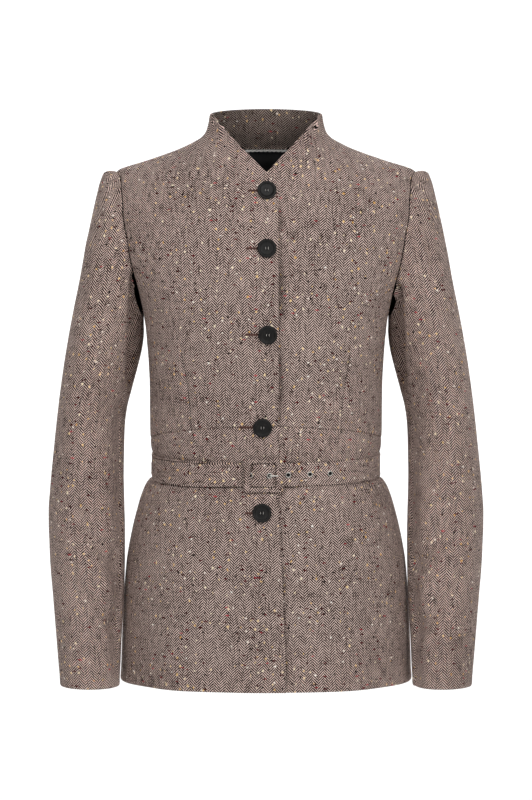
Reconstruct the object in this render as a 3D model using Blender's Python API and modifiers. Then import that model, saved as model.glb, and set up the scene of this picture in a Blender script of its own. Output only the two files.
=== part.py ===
"""Belted tweed jacket in its worn form, empty: cloth walls, belt, covered buckle, eyelets and buttons.

The frame has +Z up and the front facing -Y, so the wearer's left side is at +X. The origin lies between
the shoulders, level with the sides of the neck, where a wearer's shoulders carry the jacket. The sizes
below are in millimetres and degrees, and each mesh is turned to metres as it is made.
"""

import math
from collections import namedtuple

import bmesh
import bpy
import numpy as np
from mathutils import Matrix, Vector

MM = 0.001

# Cloth
SEAM_GAP = 0.4          # between neighbouring pieces along a seam
LAYER_GAP = 0.4         # between pieces that lie on each other
TWEED = 2.2             # tweed with its interlining
FACING = 1.0
LINING = 1.0

# Levels, measured up from the sides of the neck
RIM = 32.0
V_POINT = -30.5         # where the two neck edges cross on the centre line
SHOULDER_END = -37.5
ARMPIT = -212.5
WAIST_SEAM_FRONT = -333.0
WAIST_SEAM_SIDE = -360.0
WAIST_SEAM_BACK = -352.0
BELT_LEVEL = -392.0
HEM = -652.0
FACING_EDGE = -16.4     # the lower edge of the back neck facing
LINING_TOP = -20.5

# Front closure
V_SLOPE = 0.977         # rise of a neck edge for each millimetre outwards
OVERLAP = 15.0          # the upper front's reach past the centre line
UNDERLAP = 17.0         # the lower front's reach past it
EDGE_DRIFT = 9.0        # how much further the front edges reach at the hem
LIFT_NEAR = 22.0        # the upper front is a full layer out as far as here
LIFT_FAR = 50.0         # and back in line with the body from here
GAPE = 2.4              # the free edge stands off between the upper buttons
GAPE_FROM = 5.0         # the gape starts here and is full GAPE_WIDTH further over
GAPE_WIDTH = 20.0

# Armhole and sleeve seams
ARM_FRONT = 50.0
ARM_BACK = 58.0
ARM_TOP = 1.35          # above 1 the armhole's upper half is narrower than an ellipse
ARM_STEPS = 9           # rows from the shoulder's end to the armpit
SEAM_TURN = 0.25        # half the seam gap, as a turn round the sleeve
HEAD_GAP = 0.6          # between the sleeve head and the body panels
SETTLE = 5.0            # rings over which the sleeve leaves the armhole's own line

# Rows and columns of the panels; the collar's rows are given by the levels of their outer ends
COLLAR_LEVELS = (RIM, 22.0, 13.0, 5.5, -1.0, -6.5, -11.5, FACING_EDGE, LINING_TOP, -29.0)
SKIRT_LEVELS = (-370.0, -377.0, -406.5, -412.0, -427.0, -447.0, -479.0, -515.0, -560.0, -606.0, HEM)
LOWER_ROWS = 4          # from the armpit to the waist seam
FRONT_COLUMNS = 11
BACK_COLUMNS = 16
UPPER_COLUMNS = 11
UNDER_COLUMNS = 7
ROW_BEND = 1.6          # a front row stays level near the centre and falls towards the side

# Belt and buckle
BELT_WIDTH = 28.0
BELT_CLOTH = 1.8
BELT_STEP = 11.0
TAIL_LENGTH = 166.0     # from the buckle to the belt's tip
TAIL_DROP = 1.6         # the tail lies this much lower than the turn beneath it
DROP_FROM = 24.0        # past the buckle, and over DROP_LENGTH
DROP_LENGTH = 60.0
TAIL_GAP = 0.5          # between the tail and the turn beneath it
TIP_LENGTH = 13.0
TIP_WIDTH = 0.5         # share of the width left at the tip
BUCKLE_X = -3.3
BUCKLE_HALF = (23.7, 20.6)
WINDOW_HALF = (15.6, 14.5)
CORNER_RADIUS = 5.0
WINDOW_RADIUS = 2.0
BUCKLE_THICK = 3.4
BUCKLE_STANDS = 7.9     # the frame's back, out from the body
EDGE_ROUND = 0.8
BAR_RADIUS = 1.0
BAR_STANDS = 8.0
PRONG_RADIUS = 0.8
EYELETS = (-15.3, 7.5, 29.5, 55.9, 81.0)    # along the belt from the bar, to the wearer's left
EYELET_HOLE = 2.7
ROUND_SIDES = 14

# How far out the belt's back lies near the buckle, by distance from the bar: the start's to the wearer's
# right, and the outer turn's to the left
BeltLie = namedtuple("BeltLie", "place out")
START_LIE = (BeltLie(1.4, 6.6), BeltLie(4.0, 6.0), BeltLie(9.0, 3.9), BeltLie(11.5, 3.0))
OUTER_LIE = (
    BeltLie(-19.0, 5.3),
    BeltLie(-11.5, 5.3),
    BeltLie(-9.0, 6.4),
    BeltLie(-2.5, 9.3),         # over the bar
    BeltLie(11.0, 9.3),
    BeltLie(15.2, 5.2),         # under the frame's far side
    BeltLie(19.5, 4.3),
    BeltLie(24.0, 3.4),
    BeltLie(40.0, 3.0),
)

# Buttons: level, and distance from the centre line to the wearer's left
Button = namedtuple("Button", "level x")
BUTTONS = (
    Button(-52.6, 1.2),
    Button(-118.9, 1.2),
    Button(-220.9, 2.2),
    Button(-333.5, -4.2),
    Button(-437.5, -4.8),
)
GAPING_BUTTONS = 4      # the free edge gapes between these, counted from the top
BUTTON_SIDES = 18
THREAD_HOLE = 0.8
THREAD_HOLE_AT = 1.6

# Sections of the body: half width, depth to front and back, and squareness across and in depth (2 and 2
# make an ellipse, and a lower second value draws the sides out to a ridge, as at the shoulders)
Section = namedtuple("Section", "level half_width front back square ridge")
BODY = (
    Section(32.0, 67.0, 50.0, 60.0, 2.0, 2.0),          # collar rim
    Section(20.0, 69.5, 55.0, 62.0, 2.0, 2.0),
    Section(11.0, 72.0, 59.0, 65.0, 2.0, 2.0),
    Section(3.5, 77.5, 62.0, 68.0, 2.0, 2.0),
    Section(-4.0, 90.0, 65.0, 73.0, 2.0, 1.9),          # foot of the collar
    Section(-10.5, 104.0, 67.5, 77.0, 2.0, 1.7),
    Section(-24.0, 142.0, 72.5, 85.0, 2.05, 1.4),
    Section(-37.5, 180.0, 78.5, 92.0, 2.1, 1.25),       # end of the shoulder seam
    Section(-60.0, 186.0, 89.0, 99.0, 2.2, 1.75),
    Section(-85.0, 186.5, 99.0, 104.0, 2.3, 2.1),
    Section(-112.0, 181.0, 107.0, 107.0, 2.35, 2.3),
    Section(-140.0, 173.0, 113.0, 108.0, 2.4, 2.4),
    Section(-187.0, 154.5, 118.5, 107.0, 2.45, 2.45),
    Section(-212.5, 146.8, 119.5, 105.5, 2.5, 2.5),     # armpit
    Section(-242.0, 143.4, 118.5, 103.0, 2.5, 2.5),
    Section(-300.0, 139.9, 112.5, 97.0, 2.45, 2.45),
    Section(-345.0, 139.6, 107.5, 93.5, 2.4, 2.4),
    Section(-365.0, 138.6, 104.5, 91.0, 2.35, 2.35),    # the bodice blouses a little over the belt
    Section(-377.0, 135.4, 101.0, 87.5, 2.3, 2.3),
    Section(-406.5, 135.4, 101.0, 87.5, 2.3, 2.3),      # drawn in under the belt
    Section(-412.0, 142.0, 105.0, 92.5, 2.3, 2.3),
    Section(-427.0, 149.4, 109.5, 99.0, 2.3, 2.3),
    Section(-447.0, 155.5, 113.5, 104.5, 2.3, 2.3),
    Section(-479.0, 163.0, 119.0, 112.0, 2.3, 2.3),
    Section(-510.0, 168.2, 123.0, 118.0, 2.3, 2.3),
    Section(-560.0, 172.0, 127.0, 124.5, 2.3, 2.3),
    Section(-652.0, 175.5, 131.0, 130.0, 2.3, 2.3),     # hem
)

# Soft flutes of the skirt: turn round the body (0 wearer's left, 90 front, 270 back), half width, and how
# far they stand out at the hem
FLUTE_FALL = 1.4        # how late they open below the belt
Flute = namedtuple("Flute", "turn spread depth")
FLUTES = (
    Flute(38.0, 13.0, -3.0),
    Flute(57.0, 12.0, 2.5),
    Flute(124.0, 11.0, 3.0),
    Flute(146.0, 12.0, -3.5),
    Flute(222.0, 14.0, 4.0),
    Flute(248.0, 12.0, -4.0),
    Flute(276.0, 14.0, 4.5),
    Flute(305.0, 13.0, -3.5),
)

# Sleeve rings: inner and outer edge as seen from the front, middle and half of the depth, and how far the
# back half leans towards the body
Ring = namedtuple("Ring", "inner_x inner_z outer_x outer_z middle_y half_depth lean")
SLEEVE = (
    Ring(146.8, -212.5, 180.0, -37.5, 4.0, 54.0, 0.0),      # the armhole seam
    Ring(147.2, -216.0, 187.0, -36.6, 4.0, 55.5, 1.0),
    Ring(147.3, -219.5, 193.8, -38.3, 4.0, 57.0, 2.5),      # crown of the sleeve head
    Ring(147.5, -224.0, 199.0, -49.0, 4.0, 58.0, 4.0),
    Ring(147.8, -229.0, 203.8, -68.0, 4.0, 59.0, 6.0),
    Ring(148.0, -234.0, 208.6, -91.0, 4.0, 59.5, 8.0),
    Ring(148.6, -239.0, 213.8, -117.0, 4.5, 60.0, 10.0),
    Ring(149.6, -246.0, 218.6, -145.0, 5.0, 60.0, 11.5),
    Ring(151.0, -254.0, 223.6, -173.0, 5.0, 59.5, 12.5),
    Ring(153.0, -263.0, 229.2, -201.0, 5.5, 59.0, 13.0),
    Ring(155.4, -273.0, 234.6, -229.0, 6.0, 58.0, 12.5),
    Ring(158.8, -287.0, 239.8, -257.0, 6.5, 56.5, 11.0),
    Ring(163.0, -304.0, 244.6, -286.0, 7.0, 55.0, 9.0),
    Ring(167.6, -323.0, 248.8, -315.0, 7.0, 54.0, 7.0),
    Ring(170.0, -342.0, 252.0, -340.0, 6.0, 53.0, 5.0),
    Ring(170.9, -362.0, 254.4, -362.0, 4.0, 52.5, 4.0),     # elbow
    Ring(171.2, -383.0, 256.6, -383.0, 1.0, 52.0, 3.0),
    Ring(171.3, -404.0, 258.8, -404.0, -3.0, 51.5, 2.0),
    Ring(171.0, -425.0, 260.6, -426.0, -7.0, 51.0, 1.0),
    Ring(170.2, -445.0, 262.0, -447.0, -11.5, 50.5, 0.0),
    Ring(169.8, -464.0, 261.8, -466.0, -16.0, 50.0, 0.0),
    Ring(169.7, -482.0, 261.0, -484.0, -20.5, 49.5, 0.0),
    Ring(169.7, -500.0, 260.2, -502.0, -25.0, 49.0, 0.0),
    Ring(169.9, -519.0, 258.9, -521.0, -29.5, 48.0, 0.0),
    Ring(170.4, -538.0, 257.1, -540.0, -33.5, 47.0, 0.0),
    Ring(171.4, -557.0, 255.5, -559.0, -37.0, 46.0, 0.0),
    Ring(172.5, -577.0, 253.8, -579.0, -40.5, 45.0, 0.0),
    Ring(173.8, -600.0, 252.0, -601.0, -44.0, 43.5, 0.0),
    Ring(174.9, -626.0, 249.9, -626.0, -47.5, 42.0, 0.0),
    Ring(176.6, -654.0, 247.4, -654.0, -50.0, 41.0, 0.0),   # cuff
)

# Where a sleeve's two seams run, as turns round it (0 outside, 90 front, 180 inside) by number of the ring
SleeveSeam = namedtuple("SleeveSeam", "ring front back")
SLEEVE_SEAMS = (
    SleeveSeam(0, 120.0, 260.0),
    SleeveSeam(4, 130.0, 260.0),
    SleeveSeam(9, 148.0, 258.0),
    SleeveSeam(13, 163.0, 254.0),
    SleeveSeam(17, 166.0, 252.0),
    SleeveSeam(29, 167.0, 250.0),
)

# Creases of a sleeve, seen from the front: ends, half width, depth, and side, in front (1) or behind (-1)
Crease = namedtuple("Crease", "x1 z1 x2 z2 spread depth face")
CREASES = (
    Crease(226.0, -446.0, 180.0, -505.0, 13.0, 3.6, 1),
    Crease(224.0, -538.0, 180.0, -580.0, 12.0, 3.0, 1),
    Crease(188.0, -372.0, 214.0, -388.0, 11.0, 1.8, 1),
    Crease(236.0, -352.0, 190.0, -400.0, 13.0, 3.2, -1),
    Crease(232.0, -410.0, 186.0, -450.0, 12.0, 2.6, -1),
)


def monotone(xs, ys, at):
    """Smooth curve through a table that rises or falls only where the table does."""
    xs, ys, at = (np.asarray(v, float) for v in (xs, ys, at))
    step = np.diff(xs)
    slope = np.diff(ys) / step
    tangent = np.zeros_like(ys)
    same_way = slope[:-1] * slope[1:] > 0
    w1, w2 = 2 * step[1:] + step[:-1], step[1:] + 2 * step[:-1]
    safe = np.where(same_way, slope[:-1] * slope[1:], 1.0)
    mean = (w1 + w2) * safe / np.where(same_way, w1 * slope[1:] + w2 * slope[:-1], 1.0)
    tangent[1:-1] = np.where(same_way, mean, 0.0)
    tangent[0], tangent[-1] = slope[0], slope[-1]
    inside = np.clip(at, xs[0], xs[-1])
    i = np.clip(np.searchsorted(xs, inside, side="right") - 1, 0, len(step) - 1)
    t = (inside - xs[i]) / step[i]
    return (
        ys[i] * (1 + 2 * t) * (1 - t) ** 2
        + tangent[i] * step[i] * t * (1 - t) ** 2
        + ys[i + 1] * t**2 * (3 - 2 * t)
        + tangent[i + 1] * step[i] * t**2 * (t - 1)
    )


def ease(t):
    """Smooth step from 0 to 1."""
    t = np.clip(t, 0.0, 1.0)
    return t * t * (3 - 2 * t)


def unit(vectors):
    return vectors / np.linalg.norm(vectors, axis=-1, keepdims=True)


BODY_LEVELS = [s.level for s in reversed(BODY)]


def body_size(name, level):
    return monotone(BODY_LEVELS, [getattr(s, name) for s in reversed(BODY)], level)


def section(angle, level):
    """Point of the plain body section at an angle: 0 wearer's left, 90 degrees front, 270 back."""
    angle, level = np.broadcast_arrays(np.asarray(angle, float), np.asarray(level, float))
    across, along = np.cos(angle), np.sin(angle)
    depth = np.where(along > 0, -body_size("front", level), body_size("back", level))
    x = np.sign(across) * np.abs(across) ** (2.0 / body_size("square", level))
    y = np.abs(along) ** (2.0 / body_size("ridge", level))
    return np.stack([body_size("half_width", level) * x, depth * y, level], axis=-1)


def section_normal(angle, level):
    """Direction out of the body; on the side ridge, where front meets back, it leans to neither."""
    small_angle, small_rise, ridge = 1e-3, 0.05, 2.0
    turn = section(angle + small_angle, level) - section(angle - small_angle, level)
    rise = section(angle, level + small_rise) - section(angle, level - small_rise)
    normal = unit(np.cross(rise, turn))
    normal[..., 1] *= ease(np.abs(section(angle, level)[..., 1]) / ridge)
    return unit(normal)


def flute_depth(angle, level):
    """How far the skirt's soft flutes move the cloth out."""
    turn = np.degrees(angle) % 360.0
    fall = np.clip((BELT_LEVEL - level) / (BELT_LEVEL - HEM), 0.0, 1.0) ** FLUTE_FALL
    away = sum(f.depth * np.exp(-(((turn - f.turn + 180) % 360 - 180) / f.spread) ** 2) for f in FLUTES)
    return away * fall


def body(angle, level, out=0.0):
    """Point on the worn body's outer face, moved out by a distance."""
    angle, level = np.broadcast_arrays(np.asarray(angle, float), np.asarray(level, float))
    reach = np.asarray(out + flute_depth(angle, level))
    return section(angle, level) + section_normal(angle, level) * reach[..., None]


def angle_at_x(x, level):
    """Angle of the front point that lies x to the wearer's left."""
    share = np.clip(x / body_size("half_width", level), -1, 1)
    return np.arccos(np.sign(share) * np.abs(share) ** (body_size("square", level) / 2))


def angle_at_y(y, level):
    """Angle of the point on the wearer's left that lies y in front of the side seam, below 0 behind it."""
    share = np.clip(abs(y) / body_size("front" if y > 0 else "back", level), 0, 1)
    return math.copysign(float(np.arcsin(share ** (body_size("ridge", level) / 2))), y)


def arm_depth(turn):
    """Distance of the armhole seam in front of the side seam, below 0 behind it."""
    s = math.sin(math.radians(turn))
    fullness = ARM_TOP if math.cos(math.radians(turn)) > 0 else 1.0
    return math.copysign(abs(s) ** fullness, s) * (ARM_FRONT if s > 0 else ARM_BACK)


def arm_level(turn):
    return (SHOULDER_END + ARMPIT) / 2 + (SHOULDER_END - ARMPIT) / 2 * math.cos(math.radians(turn))


def outer_ends(facing):
    """Level and depth of each bodice row's outer end, rim to waist seam: 1 the front's, -1 the back's."""
    half_gap = SEAM_GAP / 2
    ends = [(level, half_gap) for level in COLLAR_LEVELS]
    for k in range(ARM_STEPS + 1):
        turn = 180.0 * k / ARM_STEPS
        ends.append((arm_level(turn), max(half_gap, abs(arm_depth(facing * turn)))))
    bottom = WAIST_SEAM_SIDE + half_gap
    for k in range(1, LOWER_ROWS + 1):
        ends.append((ARMPIT + (bottom - ARMPIT) * k / LOWER_ROWS, half_gap))
    return [(level, facing * depth) for level, depth in ends]


def spread_evenly(angles, levels, columns):
    """Angle and level at equal steps along a row, from a fine run of both."""
    points = section(angles, levels)
    run = np.concatenate([[0.0], np.cumsum(np.linalg.norm(np.diff(points, axis=0), axis=1))])
    at = np.linspace(0.0, run[-1], columns + 1)
    return np.interp(at, run, angles), np.interp(at, run, levels)


def row_between(start, end, columns):
    """A front row from (angle, level) near the centre to (angle, level) at the side."""
    t = np.linspace(0.0, 1.0, 90)
    angles = start[0] + (end[0] - start[0]) * t
    return spread_evenly(angles, start[1] + (end[1] - start[1]) * t**ROW_BEND, columns)


def neck_edge(level, overlap):
    """How far a front reaches past the centre line; below 0 where the neck edge runs off it."""
    return min(overlap, -(level - V_POINT) / V_SLOPE)


def front_bodice_rows(overlap, columns):
    """Rows of the front on the wearer's left, from the rim down."""
    corner = V_POINT - overlap * V_SLOPE
    ends = outer_ends(1)
    shoulder = len(COLLAR_LEVELS)
    rows = []
    for k, (level, depth) in enumerate(ends):
        if k <= shoulder:
            share = (RIM - level) / (RIM - SHOULDER_END)
            inner = RIM + (corner - RIM) * share
        elif k <= shoulder + ARM_STEPS:
            left = 1.0 - (k - shoulder) / ARM_STEPS
            inner = level + (corner - SHOULDER_END) * left**2
        else:
            share = (k - shoulder - ARM_STEPS) / LOWER_ROWS
            inner = ARMPIT + (WAIST_SEAM_FRONT + SEAM_GAP / 2 - ARMPIT) * share
        start = (float(angle_at_x(-neck_edge(inner, overlap), inner)), inner)
        rows.append(row_between(start, (angle_at_y(depth, level), level), columns))
    return rows


def front_skirt_rows(overlap, columns):
    """Rows of the front skirt on the wearer's left, from the waist seam down."""
    half_gap = SEAM_GAP / 2
    inner = [WAIST_SEAM_FRONT - half_gap, *SKIRT_LEVELS]
    outer = [WAIST_SEAM_SIDE - half_gap, *SKIRT_LEVELS]
    rows = []
    for start_level, end_level in zip(inner, outer):
        drift = EDGE_DRIFT * ease((BELT_LEVEL - start_level) / (BELT_LEVEL - HEM))
        start = (float(angle_at_x(-overlap - drift, start_level)), start_level)
        rows.append(row_between(start, (angle_at_y(half_gap, end_level), end_level), columns))
    return rows


def back_row(level, depth, middle, columns):
    """A row across the back, from the wearer's left to right, with its middle at a level of its own."""
    end = angle_at_y(depth, level)
    t = np.linspace(0.0, 1.0, 120)
    angles = end + (-math.pi - 2 * end) * t
    return spread_evenly(angles, level + (middle - level) * (1 - (2 * t - 1) ** 2), columns)


def back_bodice_rows(columns):
    ends = outer_ends(-1)
    first_lower = len(ends) - LOWER_ROWS
    drop = WAIST_SEAM_BACK - WAIST_SEAM_SIDE
    rows = []
    for k, (level, depth) in enumerate(ends):
        share = max(0, k - first_lower + 1) / LOWER_ROWS
        rows.append(back_row(level, depth, level + drop * share, columns))
    return rows


def back_skirt_rows(columns):
    half_gap = SEAM_GAP / 2
    rows = [back_row(WAIST_SEAM_SIDE - half_gap, -half_gap, WAIST_SEAM_BACK - half_gap, columns)]
    return rows + [back_row(level, -half_gap, level, columns) for level in SKIRT_LEVELS]


def front_lift(x):
    """How far the upper front lies out over the lower one, x from the centre line towards its own side."""
    return (TWEED + LAYER_GAP) * ease((LIFT_FAR - x) / (LIFT_FAR - LIFT_NEAR))


def gape(level):
    """How far the free front edge stands off between buttons."""
    levels = [b.level for b in BUTTONS[:GAPING_BUTTONS]]
    amount = np.zeros_like(level)
    for upper, lower in zip(levels, levels[1:]):
        t = np.clip((upper - level) / (upper - lower), 0.0, 1.0)
        amount = amount + GAPE * np.sin(math.pi * t) ** 2
    return amount


def upper_front_out(x, level):
    return front_lift(x) + gape(level) * ease((GAPE_FROM - x) / GAPE_WIDTH)


# Objects

def clear_scene():
    for old in list(bpy.data.objects):
        bpy.data.objects.remove(old, do_unlink=True)


def new_collection(name):
    made = bpy.data.collections.new(name)
    bpy.context.scene.collection.children.link(made)
    return made


def finish(name, colour, roughness, metallic=0.0):
    material = bpy.data.materials.new(name)
    material.use_nodes = True
    shader = material.node_tree.nodes["Principled BSDF"]
    shader.inputs["Base Color"].default_value = (*colour, 1.0)
    shader.inputs["Roughness"].default_value = roughness
    shader.inputs["Metallic"].default_value = metallic
    return material


def add_object(name, data, group, material=None):
    made = bpy.data.objects.new(name, data)
    group.objects.link(made)
    if material is not None:
        data.materials.append(material)
    return made


def tweed_finish(name):
    return finish(name + "_tweed", (0.24, 0.18, 0.16), 0.9)


def wall(name, outer, inner, group, material, turned=False):
    """Closed cloth wall between two grids of points, in millimetres, with its edges closed by a rim."""
    rows, columns = outer.shape[:2]
    count = rows * columns
    points = np.concatenate([outer.reshape(-1, 3), inner.reshape(-1, 3)]) * MM
    index = np.arange(count).reshape(rows, columns)
    a, b, c, d = index[:-1, :-1], index[1:, :-1], index[1:, 1:], index[:-1, 1:]
    front = np.stack([a, b, c, d], axis=-1).reshape(-1, 4)
    faces = [*front, *(front[:, [0, 3, 2, 1]] + count)]
    border = [*index[:-1, 0], *index[-1, :-1], *index[:0:-1, -1], *index[0, :0:-1]]
    for here, there in zip(border, border[1:] + border[:1]):
        faces.append((there, here, here + count, there + count))
    if turned:
        faces = [[face[0], *face[:0:-1]] for face in faces]
    mesh = bpy.data.meshes.new(name)
    mesh.from_pydata(points.tolist(), [], [[int(i) for i in face] for face in faces])
    mesh.shade_smooth()
    mesh.set_sharp_from_angle(angle=math.radians(40))
    return add_object(name, mesh, group, material)


def body_panel(name, rows, group, material, out=None, mirrored=False, thick=TWEED):
    """Wall on the body through rows of (angles, levels); out gives each point's distance from its face."""
    angles = np.array([row[0] for row in rows])
    levels = np.array([row[1] for row in rows])
    away = np.zeros_like(levels) if out is None else out(section(angles, levels)[..., 0], levels)
    if mirrored:
        angles = math.pi - angles
    outer, inner = body(angles, levels, away), body(angles, levels, away - thick)
    return wall(name, outer, inner, group, material, mirrored)


def inside_back(name, rows, group, material, thick):
    """Wall that lies on the inside of the back."""
    return body_panel(name, rows, group, material, lambda x, level: 0 * x - TWEED - LAYER_GAP, thick=thick)


# Sleeves

def ring_value(name, station):
    return monotone(np.arange(len(SLEEVE)), [getattr(r, name) for r in SLEEVE], station)


def armhole_point(turn):
    """Point of the sleeve head's edge, just outside the body's armhole seam."""
    level, depth = arm_level(turn), arm_depth(turn)
    reach = body_size("front" if depth > 0 else "back", level)
    across = (1 - (abs(depth) / reach) ** body_size("ridge", level)) ** (1 / body_size("square", level))
    x = body_size("half_width", level) * across
    return np.array([x + HEAD_GAP, -depth, level])


def ring_point(turn, station):
    """Point of the plain sleeve at a turn round it and a station along it, on the wearer's left."""
    ix, iz, ox, oz, my, hd, lean = (ring_value(n, station) for n in Ring._fields)
    c, s = math.cos(math.radians(turn)), math.sin(math.radians(turn))
    x = (ix + ox) / 2 + (ox - ix) / 2 * c + lean * s
    return np.array([x, my - hd * s, (iz + oz) / 2 + (oz - iz) / 2 * c])


def crease_depth(point, turn):
    """How far the creases draw a point of the sleeve in."""
    depth = 0.0
    for crease in CREASES:
        facing = ease((crease.face * math.sin(math.radians(turn)) + 0.1) / 0.6)
        along = np.array([crease.x2 - crease.x1, crease.z2 - crease.z1])
        offset = np.array([point[0] - crease.x1, point[2] - crease.z1])
        t = float(np.clip(offset @ along / (along @ along), 0.0, 1.0))
        away = np.linalg.norm(offset - along * t)
        depth += crease.depth * facing * math.exp(-((away / crease.spread) ** 2))
    return depth


def sleeve_point(turn, station):
    """Point on the sleeve's outer face, which leaves the armhole along the armhole's own line."""
    keep = float(ease(1.0 - station / SETTLE))
    point = ring_point(turn, station)
    return point + keep * (armhole_point(turn) - ring_point(turn, 0.0))


def sleeve_turns(piece, station):
    """Turns of a sleeve piece's columns at a station, from seam to seam."""
    stations = [seam.ring for seam in SLEEVE_SEAMS]
    front = float(monotone(stations, [seam.front for seam in SLEEVE_SEAMS], station))
    back = float(monotone(stations, [seam.back for seam in SLEEVE_SEAMS], station))
    if piece == "upper":
        return np.linspace(back + SEAM_TURN, front + 360.0 - SEAM_TURN, UPPER_COLUMNS + 1)
    return np.linspace(front + SEAM_TURN, back - SEAM_TURN, UNDER_COLUMNS + 1)


def sleeve_grids(piece):
    """Outer and inner points of a sleeve piece on the wearer's left, a row for each ring."""
    small_turn, small_step = 0.2, 0.02
    outer, inner = [], []
    for station in range(len(SLEEVE)):
        low, high = max(station - small_step, 0.0), min(station + small_step, len(SLEEVE) - 1.0)
        for turn in sleeve_turns(piece, station):
            point = sleeve_point(turn, station)
            round_it = sleeve_point(turn + small_turn, station) - sleeve_point(turn - small_turn, station)
            normal = unit(np.cross(round_it, sleeve_point(turn, high) - sleeve_point(turn, low)))
            outer.append(point - normal * crease_depth(point, turn))
            inner.append(outer[-1] - normal * TWEED)
    shape = (len(SLEEVE), -1, 3)
    return np.array(outer).reshape(shape), np.array(inner).reshape(shape)


def sleeve(side, name, group):
    """Upper and under sleeve on one side: 1 the wearer's left, -1 the right."""
    flip = np.array([side, 1.0, 1.0])
    for piece in ("upper", "under"):
        outer, inner = sleeve_grids(piece)
        label = f"sleeve_{piece}_{name}"
        wall(label, outer * flip, inner * flip, group, tweed_finish(label), side > 0)


# Belt

def belt_route():
    """Angle and length along the belt's line, from the buckle to the wearer's right and twice round."""
    first = float(angle_at_x(BUCKLE_X, BELT_LEVEL))
    fine = np.linspace(first, first + 4 * math.pi, 4001)
    points = section(fine, BELT_LEVEL)
    run = np.concatenate([[0.0], np.cumsum(np.linalg.norm(np.diff(points, axis=0), axis=1))])
    return fine, run


BELT_ANGLES, BELT_RUN = belt_route()
BELT_TURN = float(np.interp(BELT_ANGLES[0] + 2 * math.pi, BELT_ANGLES, BELT_RUN))


def belt_base(x):
    """The belt's back on the plain waist, bridging the step where the fronts overlap."""
    return LAYER_GAP + front_lift(np.abs(x))


def belt_out(run):
    """Distance of the belt's back from the body at a length along it."""
    angle = np.interp(run, BELT_RUN, BELT_ANGLES)
    base = float(belt_base(section(angle, BELT_LEVEL)[..., 0]))
    to_bar = BELT_TURN - run
    if run < START_LIE[-1].place:
        return float(np.interp(run, *zip(*START_LIE)))
    if to_bar > OUTER_LIE[-1].place:
        return base
    if to_bar < OUTER_LIE[0].place:
        return base + BELT_CLOTH + TAIL_GAP
    return float(np.interp(to_bar, *zip(*OUTER_LIE)))


def belt_point(run, rise, out=0.0):
    angle = np.interp(run, BELT_RUN, BELT_ANGLES)
    return section(angle, BELT_LEVEL + rise) + section_normal(angle, BELT_LEVEL) * (belt_out(run) + out)


def belt_stations():
    end = BELT_TURN + TAIL_LENGTH
    close = [lie.place for lie in START_LIE] + [BELT_TURN - lie.place for lie in OUTER_LIE]
    close += [end - TIP_LENGTH, end]
    plain = np.arange(START_LIE[-1].place + BELT_STEP, end - TIP_LENGTH, BELT_STEP)
    return sorted(close + [p for p in plain if min(abs(p - c) for c in close) > BELT_STEP / 2])


def eyelet_frame(place):
    """Matrix, in millimetres, of an eyelet's seat on the belt's outer face, with its axis outwards."""
    run, small = BELT_TURN - place, 0.5
    seat = belt_point(run, 0.0, BELT_CLOTH)
    across = unit(belt_point(run - small, 0.0) - belt_point(run + small, 0.0))
    up = np.array([0.0, 0.0, 1.0])
    out = unit(np.cross(across, up))
    across = np.cross(up, out)
    return Matrix([[across[i], up[i], out[i], seat[i]] for i in range(3)] + [[0, 0, 0, 1]])


def to_metres(frame):
    scaled = frame.copy()
    scaled.translation = frame.translation * MM
    return scaled


def cylinder_mesh(name, radius, length, sides, places=((0.0, 0.0),), middle=0.0):
    """Upright cylinders side by side in one mesh, in millimetres."""
    shape = bmesh.new()
    for x, y in places:
        move = Matrix.Translation(Vector((x, y, middle)) * MM)
        bmesh.ops.create_cone(
            shape, cap_ends=True, segments=sides, radius1=radius * MM, radius2=radius * MM,
            depth=length * MM, matrix=move,
        )
    mesh = bpy.data.meshes.new(name)
    shape.to_mesh(mesh)
    shape.free()
    return mesh


def add_cutter(name, mesh, group, frame):
    cutter = add_object(name, mesh, group)
    cutter.matrix_world = to_metres(frame)
    cutter.hide_render = True
    cutter.display_type = "WIRE"
    return cutter


def cut(target, cutter):
    change = target.modifiers.new(cutter.name, "BOOLEAN")
    change.operation = "DIFFERENCE"
    change.solver = "EXACT"
    change.object = cutter


def belt(group, cutters):
    """The belt as one strip: once round from the buckle's bar, over it and back along its own outside."""
    corners = []
    for run in belt_stations():
        to_tip = (BELT_TURN + TAIL_LENGTH - run) / TIP_LENGTH
        half = BELT_WIDTH / 2 * (TIP_WIDTH + (1 - TIP_WIDTH) * min(1.0, to_tip))
        drop = TAIL_DROP * float(ease((run - BELT_TURN - DROP_FROM) / DROP_LENGTH))
        corners.append([
            belt_point(run, half - drop, BELT_CLOTH), belt_point(run, half - drop),
            belt_point(run, -half - drop), belt_point(run, -half - drop, BELT_CLOTH),
        ])
    points = np.array(corners).reshape(-1, 3) * MM
    faces = [[0, 1, 2, 3]]
    last = len(corners) * 4 - 4
    for start in range(0, last, 4):
        for side in range(4):
            after = (side + 1) % 4
            faces.append([start + side, start + 4 + side, start + 4 + after, start + after])
    faces.append([last + 3, last + 2, last + 1, last])
    mesh = bpy.data.meshes.new("belt")
    mesh.from_pydata(points.tolist(), [], faces)
    strip = add_object("belt", mesh, group, tweed_finish("belt"))
    for number, place in enumerate(EYELETS, 1):
        name = f"eyelet_hole_{number}"
        mesh = cylinder_mesh(name, EYELET_HOLE, BELT_CLOTH + 0.6, ROUND_SIDES, middle=-BELT_CLOTH / 2)
        cut(strip, add_cutter(name, mesh, cutters, eyelet_frame(place)))


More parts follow.
